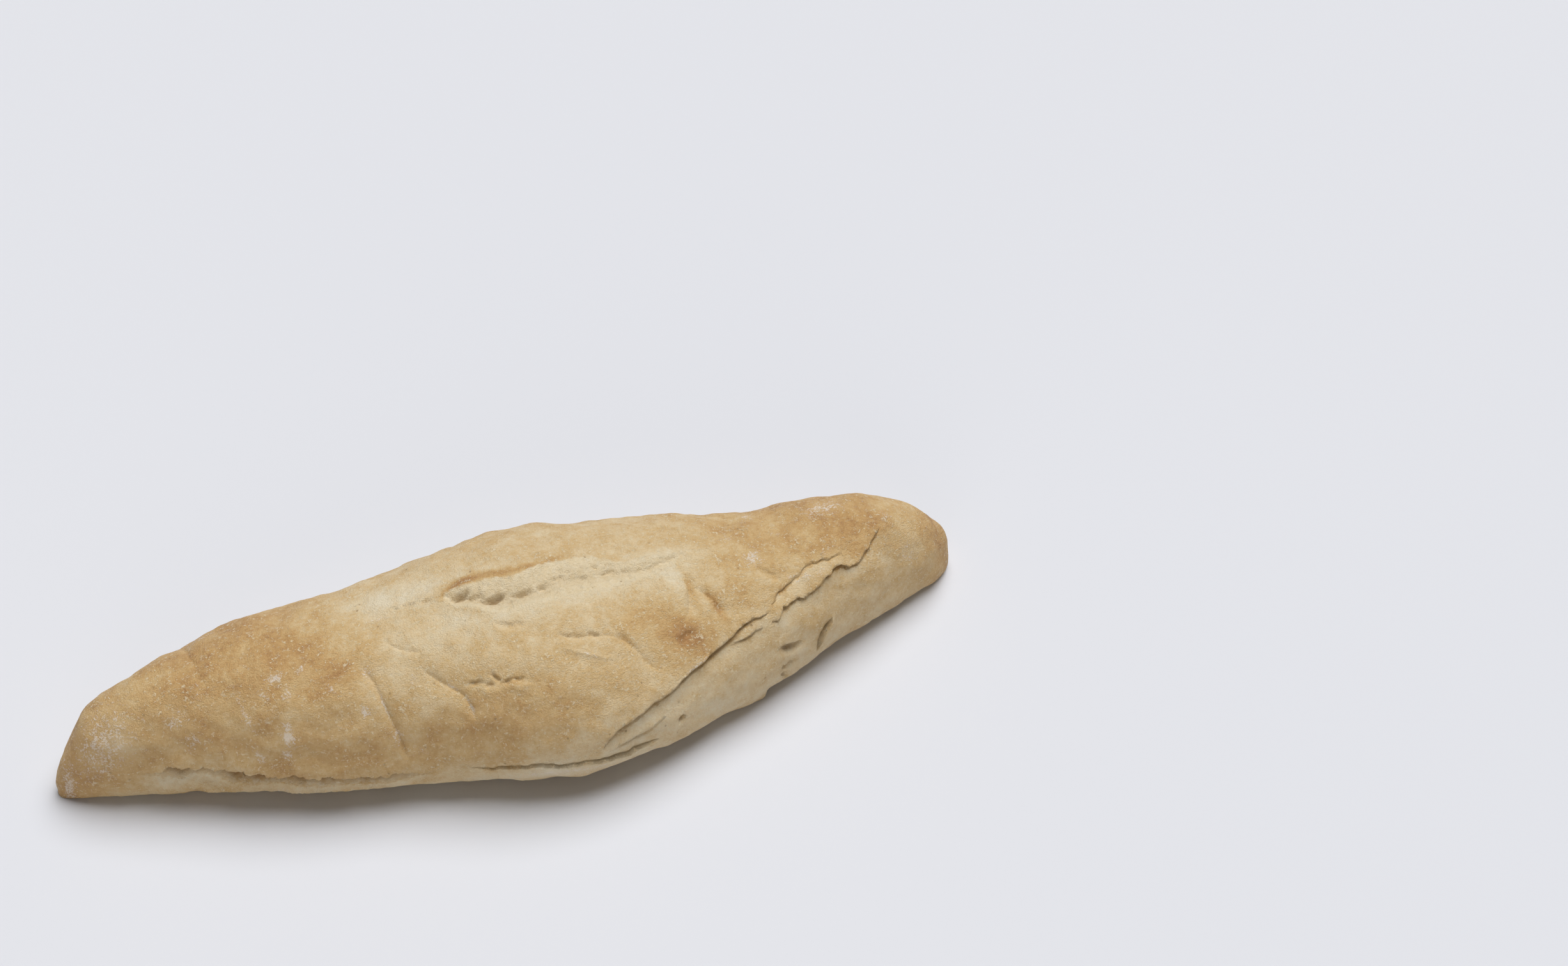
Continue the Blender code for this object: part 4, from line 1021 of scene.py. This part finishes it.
def build_loaf():
    """The loaf's one visible piece, in the place of its solid."""
    points, faces, flat_corners, looks = loaf_skin()
    points = (points - floor_middle(points)) * MM
    mesh = bpy.data.meshes.new("crust")
    mesh.from_pydata(points.tolist(), [], [[int(i) for i in face] for face in faces])
    for name, values in looks.items():
        mesh.attributes.new(name, "FLOAT", "POINT").data.foreach_set("value", values.astype(np.float32))
    lay_map(mesh, flat_corners)
    tidy_mesh(mesh)
    mesh.shade_smooth()
    mesh.materials.append(crust_material())
    loaf = new_object("baguette_crust", mesh)
    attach(loaf, "root")
    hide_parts(NODE)


def lay_map(mesh, flat_corners):
    """A map of the whole skin: it is already laid flat."""
    uv = flat_corners.reshape(-1, 2) * (0.98 / LENGTH, 0.49 / HALF_GIRTH.max()) + (0.01, 0.5)
    mesh.uv_layers.new(name="OFBake").data.foreach_set("uv", uv.ravel().astype(np.float32))


def tidy_mesh(mesh):
    """Drop points that no triangle uses, and turn every triangle outward."""
    bm = bmesh.new()
    bm.from_mesh(mesh)
    loose = [corner for corner in bm.verts if not corner.link_faces]
    bmesh.ops.delete(bm, geom=loose, context="VERTS")
    bmesh.ops.recalc_face_normals(bm, faces=bm.faces)
    bm.to_mesh(mesh)
    bm.free()


# ==================== materials
def new_material(name):
    """A new material, with its node tree and its shader."""
    material = bpy.data.materials.new(name)
    material.use_nodes = True
    return material, material.node_tree, material.node_tree.nodes["Principled BSDF"]


def add(tree, kind, inputs=(), **settings):
    """A new shader node. Inputs maps sockets to values, or to the sockets that drive them."""
    node = tree.nodes.new("ShaderNode" + kind)
    for name, value in settings.items():
        setattr(node, name, value)
    for socket, value in dict(inputs).items():
        if isinstance(value, bpy.types.NodeSocket):
            tree.links.new(value, node.inputs[socket])
        else:
            node.inputs[socket].default_value = value
    return node


def noise_node(tree, places, scale, detail, roughness):
    sockets = {"Vector": places, "Scale": scale, "Detail": detail, "Roughness": roughness}
    return add(tree, "TexNoise", sockets).outputs["Fac"]


def calculate(tree, operation, *values):
    return add(tree, "Math", dict(enumerate(values)), operation=operation).outputs[0]


def step(tree, value, low, high, top=1.0):
    """0 where the value is under low, top where it is over high, and a curve between."""
    sockets = {"Value": value, "From Min": low, "From Max": high, "To Min": 0.0, "To Max": top}
    return add(tree, "MapRange", sockets, interpolation_type="SMOOTHSTEP").outputs["Result"]


def mix(tree, factor, first, second, blend="MIX"):
    """First where the factor is 0, second where it is 1."""
    sockets = {0: factor, 6: first, 7: second}
    return add(tree, "Mix", sockets, data_type="RGBA", blend_type=blend).outputs[2]


def ramp(tree, value, tones, span=1.0):
    """A colour read from tones, which go from 0 to the span."""
    node = add(tree, "ValToRGB", {"Fac": calculate(tree, "DIVIDE", value, span)})
    elements = node.color_ramp.elements
    while len(elements) < len(tones):
        elements.new(1.0)
    for element, (place, colour) in zip(elements, tones):
        element.position = place / span
        element.color = (*colour, 1.0)
    return node.outputs["Color"]


def shifted(tree, value, source, amount):
    """Value plus the source's deviation from a half, times the amount."""
    return calculate(tree, "MULTIPLY_ADD", calculate(tree, "SUBTRACT", source, 0.5), amount, value)


def mixed(tree, value, noises, amounts):
    """Value with several of the noises added, each in its own amount."""
    for name, amount in amounts:
        value = shifted(tree, value, noises[name], amount)
    return value


def flake_lines(tree, place, noises):
    """Thin broken lines along the loaf, where the skin flakes."""
    drawn_out = add(tree, "Mapping", {"Vector": place, "Scale": (LINE_STRETCH, 1.0, 1.0)})
    waves = noise_node(tree, drawn_out.outputs["Vector"], *LINE_NOISE)
    from_middle = calculate(tree, "ABSOLUTE", calculate(tree, "SUBTRACT", waves, 0.5))
    broken = step(tree, noises["breaks"], *LINE_BREAKS)
    return calculate(tree, "MULTIPLY", step(tree, from_middle, *LINE_WIDTH), broken)


def flake_flecks(tree, place, noises):
    """How pale the flecks and lines of flaked skin are."""
    flecks = step(tree, shifted(tree, noises["flakes"], noises["blotches"], 0.3), *FLECKED)
    lines = calculate(tree, "MULTIPLY", flake_lines(tree, place, noises), LINE_STRENGTH)
    return calculate(tree, "MAXIMUM", flecks, lines)


def dark_specks(tree, place, noises):
    """Scorched specks, only in some stretches of the crust."""
    cells = add(tree, "TexVoronoi", {"Vector": place, "Scale": SPECK_SCALE, "Randomness": 1.0})
    specks = step(tree, cells.outputs["Distance"], *SPECKED)
    return calculate(tree, "MULTIPLY", specks, step(tree, noises["blotches"], *SPECK_PATCHES))


def crust_bump(tree, flecks, noises):
    """The normal of the crust's powder, grains and flecks."""
    height = calculate(tree, "MULTIPLY", flecks, FLECK_HEIGHT)
    for name, amount in BUMP_NOISES:
        height = calculate(tree, "MULTIPLY_ADD", noises[name], amount, height)
    sockets = {"Height": height, "Strength": BUMP_STRENGTH, "Distance": BUMP_HEIGHT * MM}
    return add(tree, "Bump", sockets).outputs["Normal"]


def crust_material():
    """Browned crust with bare crumb, flecks, specks, flour and the shade of the cracks."""
    material, tree, shader = new_material("baked_crust")
    browning, flour, crumb, shade = (add(tree, "Attribute", attribute_name=name).outputs["Fac"]
                                     for name in ("browning", "flour", "crumb", "shade"))
    metres = add(tree, "TexCoord").outputs["Object"]
    place = add(tree, "Mapping", {"Vector": metres, "Scale": (1 / MM,) * 3}).outputs["Vector"]
    noises = {name: noise_node(tree, place, *settings) for name, settings in NOISES.items()}

    colour = ramp(tree, mixed(tree, browning, noises, TONE_NOISES), CRUST_TONES, TONE_SPAN)
    crumb_tone = shifted(tree, noises["mottles"], noises["grains"], 0.6)
    torn = step(tree, shifted(tree, crumb, noises["mottles"], 1.2), *TORN)
    colour = mix(tree, torn, colour, ramp(tree, crumb_tone, CRUMB_TONES))
    flecks = flake_flecks(tree, place, noises)
    colour = mix(tree, flecks, colour, (*FLECK_COLOUR, 1.0))
    colour = mix(tree, dark_specks(tree, place, noises), colour, (*SPECK_COLOUR, 1.0))
    dusted = step(tree, mixed(tree, flour, noises, FLOUR_NOISES), *DUSTED)
    colour = mix(tree, dusted, colour, (*FLOUR_COLOUR, 1.0))
    colour = mix(tree, shade, colour, (*SHADE_COLOUR, 1.0), "MULTIPLY")
    bare, floured = ROUGHNESS

    tree.links.new(colour, shader.inputs["Base Color"])
    tree.links.new(calculate(tree, "MULTIPLY_ADD", dusted, floured, bare), shader.inputs["Roughness"])
    tree.links.new(crust_bump(tree, flecks, noises), shader.inputs["Normal"])
    shader.inputs["Specular IOR Level"].default_value = CRUST_SPECULAR
    return material


# ==================== studio
def look_back(item, side):
    """Turn a camera or a light so that it looks from that side."""
    item.rotation_mode = "QUATERNION"
    item.rotation_quaternion = Vector(side).to_track_quat("Z", "Y")


def turned(azimuth, elevation):
    """Unit vector from the object towards a place at that azimuth and elevation."""
    a, e = np.radians(azimuth), np.radians(elevation)
    return Vector((np.sin(a) * np.cos(e), -np.cos(a) * np.cos(e), np.sin(e)))


def add_camera():
    """The camera at the photograph's viewing angle."""
    camera = new_object("camera", bpy.data.cameras.new("camera"))
    camera.data.lens = LENS
    camera.data.sensor_width = SENSOR
    away = turned(CAMERA_AZIMUTH, CAMERA_ELEVATION)
    camera.location = Vector(AIM) + CAMERA_AWAY * away
    look_back(camera, away)
    bpy.context.scene.camera = camera


def add_light(name, source, width, strength, colour):
    """A wide soft light, so far away that the whole floor is lit alike."""
    light = new_object(name, bpy.data.lights.new(name, "SUN"))
    light.data.angle = np.radians(width)
    light.data.energy = strength
    light.data.color = colour
    look_back(light, source)


def add_floor():
    """A plain pale floor, wide enough to fill every picture."""
    bm = bmesh.new()
    bmesh.ops.create_circle(bm, cap_ends=True, segments=64, radius=FLOOR_RADIUS)
    mesh = bpy.data.meshes.new("floor")
    bm.to_mesh(mesh)
    bm.free()
    material, _, shader = new_material("floor")
    shader.inputs["Base Color"].default_value = (*FLOOR_COLOUR, 1.0)
    shader.inputs["Roughness"].default_value = FLOOR_ROUGHNESS
    shader.inputs["Specular IOR Level"].default_value = FLOOR_SPECULAR
    mesh.materials.append(material)
    floor = new_object("floor", mesh)


def add_sky():
    world = bpy.data.worlds.new("studio")
    world.use_nodes = True
    background = world.node_tree.nodes["Background"]
    background.inputs["Color"].default_value = (*SKY_COLOUR, 1.0)
    background.inputs["Strength"].default_value = SKY_STRENGTH
    bpy.context.scene.world = world


build_loaf()
add_floor()
add_sky()
for light in LIGHTS:
    add_light(*light)
add_camera()
bpy.context.scene.view_settings.view_transform = "Standard"
